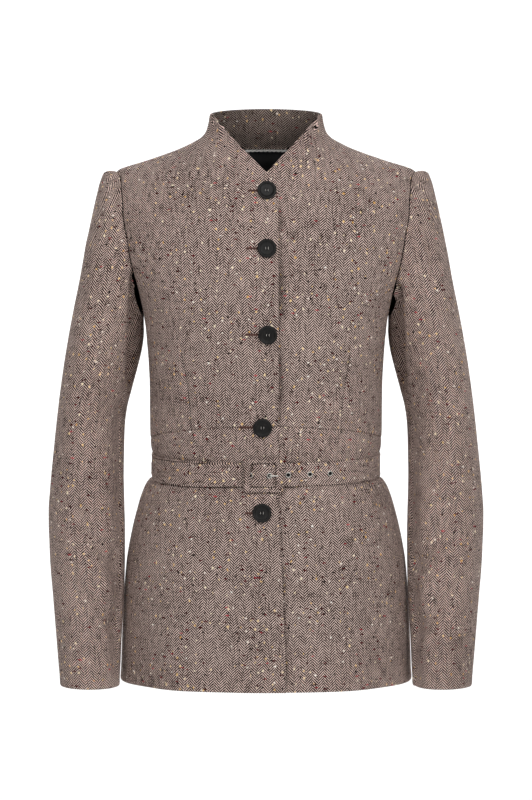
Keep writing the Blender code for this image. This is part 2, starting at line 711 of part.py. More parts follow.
def turned_mesh(name, profile, sides):
    """Mesh turned round Z from a profile of (radius, height) that runs from the top down its outer side."""
    line = bpy.data.meshes.new(name + "_profile")
    points = [(radius * MM, 0.0, height * MM) for radius, height in profile]
    line.from_pydata(points, [(i, i + 1) for i in range(len(points) - 1)], [])
    if profile[0][0] > 0:
        closing = bmesh.new()
        closing.from_mesh(line)
        closing.verts.ensure_lookup_table()
        closing.edges.new((closing.verts[-1], closing.verts[0]))
        closing.to_mesh(line)
        closing.free()
    holder = bpy.data.objects.new(name + "_profile", line)
    bpy.context.scene.collection.objects.link(holder)
    screw = holder.modifiers.new("turn", "SCREW")
    screw.steps = sides
    screw.render_steps = sides
    screw.use_merge_vertices = True
    screw.merge_threshold = 1e-5
    return evaluated_mesh(holder, name)


def evaluated_mesh(holder, name):
    """The mesh of an object with its modifiers applied, welded; the object is removed."""
    bpy.context.view_layer.update()
    graph = bpy.context.evaluated_depsgraph_get()
    mesh = bpy.data.meshes.new_from_object(holder.evaluated_get(graph))
    mesh.name = name
    shape = bmesh.new()
    shape.from_mesh(mesh)
    bmesh.ops.remove_doubles(shape, verts=shape.verts, dist=1e-6)
    bmesh.ops.recalc_face_normals(shape, faces=shape.faces)
    shape.to_mesh(mesh)
    shape.free()
    mesh.shade_smooth()
    mesh.set_sharp_from_angle(angle=math.radians(35))
    bpy.data.objects.remove(holder, do_unlink=True)
    return mesh


def eyelets(group):
    """Steel eyelets: a flange on the belt's face and a barrel through its hole."""
    hole, barrel, flange, high, gap = 2.0, 2.3, 3.4, 0.7, 0.12
    profile = (
        (hole, high - 0.15), (hole + 0.5, high), (flange - 0.4, high), (flange, gap + 0.2), (flange, gap),
        (barrel, gap), (barrel, -BELT_CLOTH), (hole, -BELT_CLOTH),
    )
    mesh = turned_mesh("eyelet", profile, ROUND_SIDES)
    mesh.materials.append(finish("eyelet_steel", (0.62, 0.61, 0.6), 0.28, 1.0))
    for number, place in enumerate(EYELETS, 1):
        add_object(f"eyelet_{number}", mesh, group).matrix_world = to_metres(eyelet_frame(place))


def buckle_frame():
    """Matrix of the buckle's seat: its own X along the belt, Y up, Z out from the body."""
    front = section(float(angle_at_x(BUCKLE_X, BELT_LEVEL)), BELT_LEVEL)
    return Matrix([[1, 0, 0, front[0]], [0, 0, -1, front[1]], [0, 1, 0, front[2]], [0, 0, 0, 1]])


def rounded_box(half, radius, steps=4):
    """Outline of a rectangle with round corners."""
    points = []
    for quarter in range(4):
        sx, sy = ((1, 1), (-1, 1), (-1, -1), (1, -1))[quarter]
        for k in range(steps + 1):
            turn = math.pi / 2 * (quarter + k / steps)
            centre = (sx * (half[0] - radius), sy * (half[1] - radius))
            points.append((centre[0] + radius * math.cos(turn), centre[1] + radius * math.sin(turn)))
    return points


def buckle(group, cutters):
    """Cloth-covered frame with a steel bar across its window."""
    outline = bpy.data.curves.new("buckle_outline", "CURVE")
    outline.dimensions = "2D"
    outline.fill_mode = "BOTH"
    outline.extrude = (BUCKLE_THICK / 2 - EDGE_ROUND) * MM
    outline.bevel_depth = EDGE_ROUND * MM
    outline.bevel_resolution = 1
    outer = [v - EDGE_ROUND for v in BUCKLE_HALF]
    window = [v + EDGE_ROUND for v in WINDOW_HALF]
    for half, radius in ((outer, CORNER_RADIUS - EDGE_ROUND), (window, WINDOW_RADIUS + EDGE_ROUND)):
        spline = outline.splines.new("POLY")
        points = rounded_box(half, radius)
        spline.points.add(len(points) - 1)
        for point, (x, y) in zip(spline.points, points):
            point.co = (x * MM, y * MM, 0.0, 1.0)
        spline.use_cyclic_u = True
    holder = bpy.data.objects.new("buckle_outline", outline)
    bpy.context.scene.collection.objects.link(holder)
    frame = add_object("buckle", evaluated_mesh(holder, "buckle"), group, tweed_finish("buckle"))
    seat = buckle_frame()
    frame.matrix_world = to_metres(seat @ Matrix.Translation((0, 0, BUCKLE_STANDS + BUCKLE_THICK / 2)))
    length = 2 * WINDOW_HALF[1] + BUCKLE_HALF[1] - WINDOW_HALF[1]
    lying = seat @ Matrix.Translation((0, 0, BAR_STANDS)) @ Matrix.Rotation(math.pi / 2, 4, "X")
    bar = add_cutter("buckle_bar", cylinder_mesh("buckle_bar", BAR_RADIUS, length, 10), cutters, lying)
    join = frame.modifiers.new("bar", "BOOLEAN")
    join.operation = "UNION"
    join.solver = "EXACT"
    join.object = bar


def tube(name, points, radius, group, material):
    """Round rod along points in millimetres."""
    line = bpy.data.curves.new(name, "CURVE")
    line.dimensions = "3D"
    line.bevel_depth = radius * MM
    line.bevel_resolution = 2
    line.use_fill_caps = True
    spline = line.splines.new("POLY")
    spline.points.add(len(points) - 1)
    for place, point in zip(spline.points, points):
        place.co = (*(np.asarray(point) * MM), 1.0)
    return add_object(name, line, group, material)


def buckle_prong(group):
    """Steel prong: from the bar, up through the second eyelet, over the belt to the frame's far side."""
    over = BUCKLE_STANDS + BUCKLE_THICK + PRONG_RADIUS + LAYER_GAP
    below = ((2.2, BAR_STANDS), (5.4, BAR_STANDS), (6.7, BAR_STANDS + 0.6), (7.35, BAR_STANDS + 1.9))
    route = (*below, (7.8, over - 0.9), (8.6, over - 0.2), (10.0, over), (14.0, over + 0.1), (18.0, over))
    seat = buckle_frame()
    points = [seat @ Vector((across, 0.0, out)) for across, out in route]
    tube("buckle_prong", points, PRONG_RADIUS, group, finish("prong_steel", (0.6, 0.59, 0.58), 0.3, 1.0))


def neck_trim(group):
    """Pale twisted edging between the back neck facing and the lining."""
    radius = (FACING_EDGE - LINING_TOP) / 2 - LAYER_GAP
    level = (FACING_EDGE + LINING_TOP) / 2
    angles, levels = back_row(level, -SEAM_GAP, level, BACK_COLUMNS)
    line = body(angles, levels, -TWEED - LAYER_GAP - radius)
    tube("neck_trim", line, radius, group, finish("trim_cord", (0.55, 0.53, 0.5), 0.75))


def buttons(group, cutters):
    """Four-hole buttons with a raised rim, each flat against the upper front."""
    face = ((0.0, 2.6), (7.4, 2.8), (8.7, 3.9), (10.0, 4.2), (11.1, 3.5))
    profile = (*face, (11.5, 2.2), (10.9, 0.9), (9.2, 0.0), (0.0, 0.0))
    disc = turned_mesh("button", profile, BUTTON_SIDES)
    holes = [(sx * THREAD_HOLE_AT, sy * THREAD_HOLE_AT) for sx in (-1, 1) for sy in (-1, 1)]
    drill = cylinder_mesh("thread_holes", THREAD_HOLE, 8.0, 8, holes, 2.0)
    blank = add_object("button_blank", disc, cutters)
    cut(blank, add_cutter("thread_holes", drill, cutters, Matrix.Identity(4)))
    mesh = evaluated_mesh(blank, "button_drilled")
    mesh.materials.append(finish("button_horn", (0.025, 0.022, 0.02), 0.35))
    for number, button in enumerate(BUTTONS, 1):
        angle = float(angle_at_x(button.x, button.level))
        out = section_normal(angle, button.level)
        seat = section(angle, button.level) + out * (upper_front_out(-button.x, button.level) + LAYER_GAP)
        turn = Vector(out).to_track_quat("Z", "Y").to_matrix().to_4x4()
        placed = add_object(f"button_{number}", mesh, group)
        placed.matrix_world = Matrix.Translation(Vector(seat) * MM) @ turn


def bodice(group):
    upper, lower = front_bodice_rows(OVERLAP, FRONT_COLUMNS), front_bodice_rows(UNDERLAP, FRONT_COLUMNS)
    right, left = "front_bodice_right", "front_bodice_left"
    body_panel(right, upper, group, tweed_finish(right), upper_front_out, True)
    body_panel(left, lower, group, tweed_finish(left))
    body_panel("back_bodice", back_bodice_rows(BACK_COLUMNS), group, tweed_finish("back_bodice"))


def skirt(group):
    upper, lower = front_skirt_rows(OVERLAP, FRONT_COLUMNS), front_skirt_rows(UNDERLAP, FRONT_COLUMNS)
    right, left = "front_skirt_right", "front_skirt_left"
    body_panel(right, upper, group, tweed_finish(right), upper_front_out, True)
    body_panel(left, lower, group, tweed_finish(left))
    body_panel("back_skirt", back_skirt_rows(BACK_COLUMNS), group, tweed_finish("back_skirt"))


def back_inside(group):
    """Facing and lining that show inside the back of the neck, made from the back's own rows."""
    rows = back_bodice_rows(BACK_COLUMNS)
    top = [k for k, level in enumerate(COLLAR_LEVELS) if level >= FACING_EDGE]
    facing = [rows[k] for k in top]
    inside_back("neck_facing", facing, group, tweed_finish("neck_facing"), FACING)
    lining = [(angles[1:-1], levels[1:-1]) for angles, levels in rows[len(top):-1]]
    inside_back("back_lining", lining, group, finish("lining_satin", (0.008, 0.008, 0.009), 0.4), LINING)


def main():
    clear_scene()
    jacket = new_collection("belted_tweed_jacket")
    cutters = new_collection("cutters")
    bodice(jacket)
    skirt(jacket)
    for side, name in ((1, "left"), (-1, "right")):
        sleeve(side, name, jacket)
    back_inside(jacket)
    neck_trim(jacket)
    belt(jacket, cutters)
    eyelets(jacket)
    buckle(jacket, cutters)
    buckle_prong(jacket)
    buttons(jacket, cutters)


main()
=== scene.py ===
"""Looks of the belted tweed jacket: cloth, sewing, trimmings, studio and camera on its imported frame.

Sizes are in millimetres in the frame's axes: +Z up, the front faces -Y, and the wearer's left is at +X.
"""

import logging
import math
from collections.abc import Sequence
from dataclasses import dataclass, field, replace
from enum import Enum
from typing import Any

import bpy
import numpy as np
from mathutils import Matrix, Vector


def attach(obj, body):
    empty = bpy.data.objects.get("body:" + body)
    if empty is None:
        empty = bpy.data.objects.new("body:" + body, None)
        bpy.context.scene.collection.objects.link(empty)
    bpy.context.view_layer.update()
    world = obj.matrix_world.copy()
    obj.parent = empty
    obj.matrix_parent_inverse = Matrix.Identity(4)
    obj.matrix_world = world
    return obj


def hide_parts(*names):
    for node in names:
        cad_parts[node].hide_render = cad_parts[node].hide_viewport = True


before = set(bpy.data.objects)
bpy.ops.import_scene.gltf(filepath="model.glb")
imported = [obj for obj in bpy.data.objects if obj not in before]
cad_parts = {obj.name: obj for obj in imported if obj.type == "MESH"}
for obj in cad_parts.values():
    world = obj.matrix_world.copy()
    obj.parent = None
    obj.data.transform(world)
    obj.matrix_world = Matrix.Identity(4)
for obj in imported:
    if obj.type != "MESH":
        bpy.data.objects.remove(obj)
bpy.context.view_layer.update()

LOG = logging.getLogger("jacket")
MM = 0.001
WEAVE_MAP = "weave"
EDGE_STEPS = (0.0, 0.25, 0.6, 1.1, 1.8, 2.8, 4.2)
FRONT_FACING, COLLAR_FACING, HEM_FACING = 62.0, 46.0, 38.0     # widths of the tweed inside the edges
PLANE = {"noise_dimensions": "2D"}
MULTIPLY_ADD = {"operation": "MULTIPLY_ADD"}
Array = np.ndarray
Source = bpy.types.NodeSocket | bpy.types.Node      # what a node's input is linked to


# Shared sums

def monotone(xs: Sequence[float], ys: Sequence[float], at: Any) -> Array:
    """Smooth curve through a table that rises or falls only where the table does.

    Args:
        xs: rising places of the table.
        ys: values at these places.
        at: places to read.

    Returns:
        The values at the places asked for.
    """
    xs, ys, at = (np.asarray(values, float) for values in (xs, ys, at))
    step = np.diff(xs)
    slope = np.diff(ys) / step
    tangent = np.zeros_like(ys)
    same_way = slope[:-1] * slope[1:] > 0
    w1, w2 = 2 * step[1:] + step[:-1], step[1:] + 2 * step[:-1]
    safe = np.where(same_way, slope[:-1] * slope[1:], 1.0)
    mean = (w1 + w2) * safe / np.where(same_way, w1 * slope[1:] + w2 * slope[:-1], 1.0)
    tangent[1:-1] = np.where(same_way, mean, 0.0)
    tangent[0], tangent[-1] = slope[0], slope[-1]
    inside = np.clip(at, xs[0], xs[-1])
    i = np.clip(np.searchsorted(xs, inside, side="right") - 1, 0, len(step) - 1)
    t = (inside - xs[i]) / step[i]
    return (
        ys[i] * (1 + 2 * t) * (1 - t) ** 2
        + tangent[i] * step[i] * t * (1 - t) ** 2
        + ys[i + 1] * t**2 * (3 - 2 * t)
        + tangent[i + 1] * step[i] * t**2 * (t - 1)
    )


def ease(t: Any) -> Array:
    """Smooth step from 0 to 1."""
    t = np.clip(t, 0.0, 1.0)
    return t * t * (3 - 2 * t)


def bell(distance: Any, spread: float) -> Array:
    """Soft hump that is 1 at no distance."""
    return np.exp(-((np.asarray(distance) / spread) ** 2))


def unit(vectors: Array) -> Array:
    """Vectors of length 1 in the same directions."""
    return vectors / np.maximum(np.linalg.norm(vectors, axis=-1, keepdims=True), 1e-12)


def run_along(points: Array, axis: int) -> Array:
    """Length from the first point on, along one axis of a grid of points.

    Args:
        points: grid of points.
        axis: axis of the grid to follow.

    Returns:
        The length at each point.
    """
    steps = np.linalg.norm(np.diff(points, axis=axis), axis=-1)
    run = np.cumsum(steps, axis=axis)
    return np.concatenate([np.zeros_like(np.take(run, [0], axis=axis)), run], axis=axis)


def spacing(length: float, count: int, start: bool = True, end: bool = True) -> Array:
    """Places along a line, closer together near the ends that are edges of a piece.

    Args:
        length: length of the line.
        count: even steps between the close ones.
        start: whether the steps close up at the start.
        end: whether they close up at the end.

    Returns:
        The places, from 0 to the length.
    """
    first = EDGE_STEPS if start else (0.0,)
    last = EDGE_STEPS if end else (0.0,)
    middle = np.linspace(first[-1], length - last[-1], count + 1)
    return np.concatenate([first[:-1], middle, length - np.array(last[-2::-1])])


# Finishes

def linear(colour: str) -> tuple[float, float, float, float]:
    """Turn an sRGB hex colour to linear light.

    Args:
        colour: colour such as "#8a7a70".

    Returns:
        Red, green, blue and a full alpha.
    """
    parts = [int(colour[i:i + 2], 16) / 255 for i in (1, 3, 5)]
    red, green, blue = (c / 12.92 if c <= 0.04045 else ((c + 0.055) / 1.055) ** 2.4 for c in parts)
    return red, green, blue, 1.0


def set_inputs(tree: bpy.types.NodeTree, node: bpy.types.Node, inputs: dict) -> None:
    """Set or link a node's inputs.

    Args:
        tree: its node tree.
        node: the node.
        inputs: value, socket or node for each input, by name or number; a node gives its first output.
    """
    for name, value in inputs.items():
        if isinstance(value, bpy.types.Node):
            value = value.outputs[0]
        if isinstance(value, bpy.types.NodeSocket):
            tree.links.new(value, node.inputs[name])
        else:
            node.inputs[name].default_value = value


def add_node(
    tree: bpy.types.NodeTree, kind: str, inputs: dict | None = None, stops: Sequence = (), **settings: Any
) -> bpy.types.Node:
    """Add a shader node with its settings, values and links.

    Args:
        tree: node tree of a material.
        kind: the node's type name, without ShaderNode in front.
        inputs: what goes into it, as set_inputs takes it.
        stops: places and hex colours of a colour ramp.
        settings: other properties of the node.

    Returns:
        The new node.
    """
    made = tree.nodes.new("ShaderNode" + kind)
    for name, value in settings.items():
        setattr(made, name, value)
    set_inputs(tree, made, inputs or {})
    for k, (place, colour) in enumerate(stops):
        stop = made.color_ramp.elements[k] if k < 2 else made.color_ramp.elements.new(place)
        stop.position, stop.color = place, linear(colour)
    return made


def new_material(name: str, **sockets: Any) -> tuple[bpy.types.Material, bpy.types.NodeTree, bpy.types.Node]:
    """Make a material with one Principled shader.

    Args:
        name: the real material's name.
        sockets: constant values of the shader, with underscores for spaces.

    Returns:
        The material, its node tree and its shader.
    """
    material = bpy.data.materials.new(name)
    material.use_nodes = True
    tree = material.node_tree
    shader = tree.nodes["Principled BSDF"]
    set_inputs(tree, shader, {socket.replace("_", " "): value for socket, value in sockets.items()})
    return material, tree, shader


@dataclass(frozen=True)
class Fleck:
    """One kind of coloured nep spun into the yarn: colours, and sizes in millimetres."""

    colours: tuple[str, ...]
    apart: float        # between the places where one may lie
    share: float        # of these places that have one
    small: float        # half height of the smallest
    large: float        # and of the largest
    stretch: float      # length by height
    seed: float         # which part of the endless pattern is used


@dataclass(frozen=True)
class HerringboneTweed:
    """Woollen tweed, woven in herringbone from a dark and a pale yarn with coloured neps, then milled.

    The eye gets fine salt-and-pepper twill lines that turn back on themselves in upright stripes, scattered
    cream, gold, white and maroon flecks, a dull surface and a faint pale bloom of fibre ends at grazing angles.
    Measured square to them the twill lines are 2.3 apart, drawn coarser than on most tweeds so that they show.
    """

    name: str = "herringbone_wool_tweed"
    column: float = 7.4         # width of a herringbone stripe
    line: float = 3.2           # upright distance between twill lines
    cluster: float = 60.0       # size of the patches where neps lie closer together
    crowding: tuple[float, float] = (0.3, 1.7)      # how often neps lie in the barest and fullest patches
    ragged: tuple[float, float] = (4.2, 3.2)        # how far a nep's outline strays, across and up
    nep_height: float = 0.5     # relief of a nep, where the shades of the cloth run from 0 to 1
    wander: float = 0.9         # how far the yarns stray
    wander_size: float = 6.0
    yarn: float = 2.0           # thickness of a yarn, drawn coarser than the real 1.2 so that it shows
    slub: float = 16.0          # length of a thick or thin stretch of yarn
    hair: float = 1.5           # size of the tufts of loose fibre
    tone: float = 85.0          # size of the faint cloudy shading of the dye
    mean_shade: float = 0.475   # of the cloth, as a place on its shades
    line_weight: float = 0.6    # shares of all these in the shade of the cloth
    warp_weight: float = 0.65
    weft_weight: float = 0.4
    hair_weight: float = 0.55
    tone_weight: float = 0.25
    shades: tuple[tuple[float, str], ...] = (
        (0.34, "#0a0403"), (0.54, "#261713"), (0.73, "#866c62"), (0.92, "#f6dcd1"),
    )
    flecks: tuple[Fleck, ...] = (
        Fleck(("#4a1216", "#340d0d", "#6a1c22", "#401310"), 9.0, 0.46, 0.7, 1.2, 2.6, 11.3),
        Fleck(("#a8303a", "#c25a5e", "#8c2430"), 16.0, 0.36, 0.6, 1.0, 3.0, 47.1),
        Fleck(("#140b0a", "#1c100e"), 11.0, 0.40, 0.7, 1.2, 1.3, 83.9),
        Fleck(("#ecc486", "#f6dcae", "#dca860", "#f8e8cc"), 12.0, 0.36, 0.9, 1.8, 0.8, 29.7),
        Fleck(("#fffaf2", "#f7ecdf"), 15.0, 0.24, 0.8, 1.3, 1.2, 61.4),
    )

    def material(self) -> bpy.types.Material:
        """Build the cloth's material.

        Returns:
            The material.
        """
        material, tree, shader = new_material(
            self.name, IOR=1.54, Specular_IOR_Level=0.15, Sheen_Weight=0.06, Sheen_Roughness=0.45,
            Sheen_Tint=linear("#d8c8be"),
        )
        flat = add_node(tree, "UVMap", uv_map=WEAVE_MAP)
        sizes = ((self.wander_size, 2.0), (self.hair, 3.0), (self.tone, 2.0), (self.cluster, 2.0))
        stray, fuzz, cloud, patches = (
            add_node(tree, "TexNoise", {"Vector": flat, "Scale": 1 / size, "Detail": detail}, **PLANE)
            for size, detail in sizes
        )
        yarn, ragged = (
            add_node(tree, "VectorMath", {0: noise.outputs["Color"], 1: (*reach, 0.0), 2: flat}, **MULTIPLY_ADD)
            for noise, reach in ((stray, (self.wander, self.wander)), (fuzz, self.ragged))
        )
        slubs = []
        for scale in ((1 / self.yarn, 1 / self.slub, 0.0), (1 / self.slub, 1 / self.yarn, 0.0)):
            place = add_node(tree, "VectorMath", {0: yarn, 1: scale}, operation="MULTIPLY")
            slubs.append(add_node(tree, "TexNoise", {"Vector": place, "Scale": 1.0, "Detail": 1.0}, **PLANE))
        weights = (self.warp_weight, self.weft_weight, self.hair_weight, self.tone_weight)
        start = self.mean_shade - sum(weights) / 2
        line = self.twill_lines(tree, yarn)
        total = add_node(tree, "Math", {0: line, 1: self.line_weight, 2: start}, **MULTIPLY_ADD)
        for noise, weight in zip((*slubs, fuzz, cloud), weights):
            total = add_node(tree, "Math", {0: noise, 1: weight, 2: total}, **MULTIPLY_ADD)
        colour, height = add_node(tree, "ValToRGB", {"Fac": total}, stops=self.shades), total
        often = add_node(tree, "MapRange", {
            "Value": patches, "From Min": 0.35, "From Max": 0.65,
            "To Min": self.crowding[0], "To Max": self.crowding[1],
        })
        for fleck in self.flecks:
            colour, height = self.add_fleck(tree, fleck, ragged, often, colour, height)
        rough = add_node(tree, "MapRange", {"Value": fuzz, "To Min": 0.8, "To Max": 1.0})
        bump = add_node(tree, "Bump", {"Height": height, "Strength": 0.3, "Distance": 0.4 * MM})
        set_inputs(tree, shader, {"Base Color": colour, "Roughness": rough, "Normal": bump})
        return material

    def twill_lines(self, tree: bpy.types.NodeTree, yarn: Source) -> bpy.types.Node:
        """Add slanting lines that change direction, and jump by half a line, from stripe to stripe.

        Args:
            tree: the material's node tree.
            yarn: places on the cloth.

        Returns:
            Node that runs from -1 in the dark lines to 1 in the pale ones.
        """
        split = add_node(tree, "SeparateXYZ", {0: yarn}).outputs
        slant = add_node(tree, "Math", {0: split["X"], 1: self.column}, operation="PINGPONG")
        stripe = add_node(tree, "Math", {0: split["X"], 1: self.column}, operation="DIVIDE")
        number = add_node(tree, "Math", {0: stripe}, operation="FLOOR")
        jump = add_node(tree, "Math", {0: number, 1: self.line / 2, 2: split["Y"]}, **MULTIPLY_ADD)
        along = add_node(tree, "Math", {0: slant, 1: jump}, operation="ADD")
        turn = add_node(tree, "Math", {0: along, 1: 2 * math.pi / self.line}, operation="MULTIPLY")
        return add_node(tree, "Math", {0: turn}, operation="SINE")

    def add_fleck(
        self, tree: bpy.types.NodeTree, fleck: Fleck, place: Source, often: Source, colour: Source,
        height: Source,
    ) -> tuple[Source, Source]:
        """Scatter one kind of nep over the cloth.

        Args:
            tree: the material's node tree.
            fleck: the kind of nep.
            place: places on the cloth, ragged so that no nep has a clean outline.
            often: how close together neps lie there, 1 on average.
            colour: the cloth's colour so far.
            height: its relief so far.

        Returns:
            Colour and relief with the neps.
        """
        scale, shift = (1 / fleck.stretch, 1.0, 0.0), (fleck.seed, fleck.seed * 1.7, 0.0)
        small, large = fleck.small / fleck.apart, fleck.large / fleck.apart
        spot = add_node(tree, "VectorMath", {0: place, 1: scale, 2: shift}, **MULTIPLY_ADD)
        cell = add_node(tree, "TexVoronoi", {"Vector": spot, "Scale": 1 / fleck.apart}, voronoi_dimensions="2D")
        pick = add_node(tree, "SeparateColor", {0: cell.outputs["Color"]}).outputs
        reach = add_node(tree, "MapRange", {"Value": pick[1], "To Min": small, "To Max": large})
        inside = add_node(tree, "Math", {0: reach, 1: cell.outputs["Distance"]}, operation="SUBTRACT")
        soft = add_node(tree, "MapRange", {"Value": inside, "From Min": 0.0, "From Max": 0.4 * small})
        share = add_node(tree, "Math", {0: often, 1: fleck.share}, operation="MULTIPLY")
        there = add_node(tree, "Math", {0: pick[0], 1: share}, operation="LESS_THAN")
        mask = add_node(tree, "Math", {0: soft, 1: there}, operation="MULTIPLY")
        shades = [(k / len(fleck.colours), shade) for k, shade in enumerate(fleck.colours)]
        shade = add_node(tree, "ValToRGB", {"Fac": pick[2]}, stops=shades)
        mixed = add_node(tree, "Mix", {0: mask, 6: colour, 7: shade}, data_type="RGBA")
        raised = add_node(tree, "Math", {0: mask, 1: self.nep_height, 2: height}, **MULTIPLY_ADD)
        return mixed.outputs[2], raised


@dataclass(frozen=True)
class SatinLining:
    """Black viscose satin, warp faced and calendered: deep black with a soft streaky shine along the grain."""

    name: str = "black_viscose_satin"
    thread: float = 0.5         # drawn coarser than the real 0.1, which would not show
    streak: float = 40.0
    dark: str = "#0e0e10"
    pale: str = "#1d1d20"

    def material(self) -> bpy.types.Material:
        """Build the lining's material.

        Returns:
            The material.
        """
        material, tree, shader = new_material(
            self.name, IOR=1.5, Specular_IOR_Level=0.4, Anisotropic=0.45, Sheen_Weight=0.05,
        )
        flat = add_node(tree, "UVMap", uv_map=WEAVE_MAP)
        scale = (1 / self.thread, 1 / self.streak, 0.0)
        place = add_node(tree, "VectorMath", {0: flat, 1: scale}, operation="MULTIPLY")
        streaks = add_node(tree, "TexNoise", {"Vector": place, "Scale": 1.0, "Detail": 2.0}, **PLANE)
        colour = add_node(tree, "ValToRGB", {"Fac": streaks}, stops=((0.3, self.dark), (0.75, self.pale)))
        rough = add_node(tree, "MapRange", {"Value": streaks, "To Min": 0.34, "To Max": 0.52})
        bump = add_node(tree, "Bump", {"Height": streaks, "Strength": 0.2, "Distance": 0.1 * MM})
        set_inputs(tree, shader, {"Base Color": colour, "Roughness": rough, "Normal": bump})
        return material


@dataclass(frozen=True)
class TwistedYarn:
    """Plied and twisted thread: slanting plies with painted shade in the hollows between them, and a dry, silky
    surface.
    """

    name: str
    dark: str
    pale: str
    ply: float              # distance between plies along the thread
    rough: float = 0.6
    sheen: float = 0.2

    def material(self) -> bpy.types.Material:
        """Build the thread's material.

        Returns:
            The material.
        """
        material, tree, shader = new_material(
            self.name, IOR=1.5, Specular_IOR_Level=0.3, Sheen_Weight=self.sheen, Sheen_Roughness=0.4,
        )
        flat = add_node(tree, "UVMap", uv_map=WEAVE_MAP)
        split = add_node(tree, "SeparateXYZ", {0: flat}).outputs
        slant = add_node(tree, "Math", {0: split["X"], 1: split["Y"]}, operation="ADD")
        turn = add_node(tree, "Math", {0: slant, 1: 2 * math.pi / self.ply}, operation="MULTIPLY")
        # pale on each ply and dark between them: painted shade in the hollows, also used as relief
        ply_shade = add_node(tree, "Math", {0: turn}, operation="SINE")
        hair = add_node(
            tree, "TexNoise", {"Vector": flat, "Scale": 1 / (0.4 * self.ply), "Detail": 2.0}, **PLANE
        )
        mixed = add_node(tree, "Math", {0: ply_shade, 1: 0.3, 2: hair}, **MULTIPLY_ADD)
        colour = add_node(tree, "ValToRGB", {"Fac": mixed}, stops=((0.15, self.dark), (0.75, self.pale)))
        low, high = self.rough - 0.1, self.rough + 0.15
        rough = add_node(tree, "MapRange", {"Value": hair, "To Min": low, "To Max": high})
        bump = add_node(tree, "Bump", {"Height": mixed, "Strength": 0.5, "Distance": 0.2 * MM})
        set_inputs(tree, shader, {"Base Color": colour, "Roughness": rough, "Normal": bump})
        return material


@dataclass(frozen=True)
class CastHorn:
    """Horn look cast in polyester resin, turned and tumbled: charcoal with smoky streaks and a satin polish."""

    name: str = "cast_polyester_horn"
    streak: tuple[float, float] = (2.6, 9.0)
    apart: float = 60.0         # how far apart on the endless smoke two buttons may lie
    turning: float = 0.7        # spacing of the lathe's rings, drawn coarser than real so that they show
    shades: tuple[tuple[float, str], ...] = (
        (0.25, "#080707"), (0.5, "#100f0e"), (0.66, "#1a1816"), (0.85, "#2e2822"),
    )

    def material(self) -> bpy.types.Material:
        """Build the buttons' material.

        Returns:
            The material.
        """
        material, tree, shader = new_material(
            self.name, IOR=1.55, Specular_IOR_Level=0.25, Coat_Weight=0.03, Coat_Roughness=0.25,
        )
        flat = add_node(tree, "UVMap", uv_map=WEAVE_MAP)
        number = add_node(tree, "ObjectInfo").outputs["Random"]
        away = add_node(tree, "Math", {0: number, 1: self.apart}, operation="MULTIPLY")
        scale = (1 / self.streak[0], 1 / self.streak[1], 0.0)
        place = add_node(tree, "VectorMath", {0: flat, 1: scale}, operation="MULTIPLY")
        moved = add_node(tree, "VectorMath", {0: place, 1: away}, operation="ADD")
        smoke = add_node(
            tree, "TexNoise", {"Vector": moved, "Scale": 1.0, "Detail": 4.0, "Distortion": 0.6}, **PLANE
        )
        colour = add_node(tree, "ValToRGB", {"Fac": smoke}, stops=self.shades)
        radius = add_node(tree, "VectorMath", {0: flat}, operation="LENGTH").outputs["Value"]
        turn = add_node(tree, "Math", {0: radius, 1: 2 * math.pi / self.turning}, operation="MULTIPLY")
        rings = add_node(tree, "Math", {0: turn}, operation="SINE")
        bump = add_node(tree, "Bump", {"Height": rings, "Strength": 0.12, "Distance": 0.05 * MM})
        rough = add_node(tree, "MapRange", {"Value": smoke, "To Min": 0.42, "To Max": 0.62})
        set_inputs(tree, shader, {"Base Color": colour, "Roughness": rough, "Normal": bump})
        return material


@dataclass(frozen=True)
class PlatedNickel:
    """Nickel plate on pressed steel, barrel polished: bright warm grey with a fine random scuff."""

    name: str = "polished_nickel_plate"
    scuff: float = 1.2

    def material(self) -> bpy.types.Material:
        """Build the metal's material.

        Returns:
            The material.
        """
        material, tree, shader = new_material(self.name, Metallic=1.0)
        where = add_node(tree, "TexCoord").outputs["Object"]
        scuffs = add_node(tree, "TexNoise", {"Vector": where, "Scale": 1 / (self.scuff * MM), "Detail": 3.0})
        colour = add_node(tree, "ValToRGB", {"Fac": scuffs}, stops=((0.3, "#c9c5be"), (0.7, "#e6e3de")))
        rough = add_node(tree, "MapRange", {"Value": scuffs, "To Min": 0.38, "To Max": 0.58})
        set_inputs(tree, shader, {"Base Color": colour, "Roughness": rough})
        return material


@dataclass(frozen=True)
class StudioPaper:
    """Pale matt background paper: nearly white, with no shine."""

    name: str = "pale_background_paper"
    grain: float = 0.6          # metres, a faint unevenness

    def material(self) -> bpy.types.Material:
        """Build the floor's material.

        Returns:
            The material.
        """
        material, tree, shader = new_material(self.name, Roughness=0.95, Specular_IOR_Level=0.1)
        where = add_node(tree, "TexCoord").outputs["Object"]
        cloud = add_node(tree, "TexNoise", {"Vector": where, "Scale": 1 / self.grain})
        colour = add_node(tree, "ValToRGB", {"Fac": cloud}, stops=((0.3, "#fbfbfa"), (0.7, "#fefefe")))
        set_inputs(tree, shader, {"Base Color": colour})
        return material


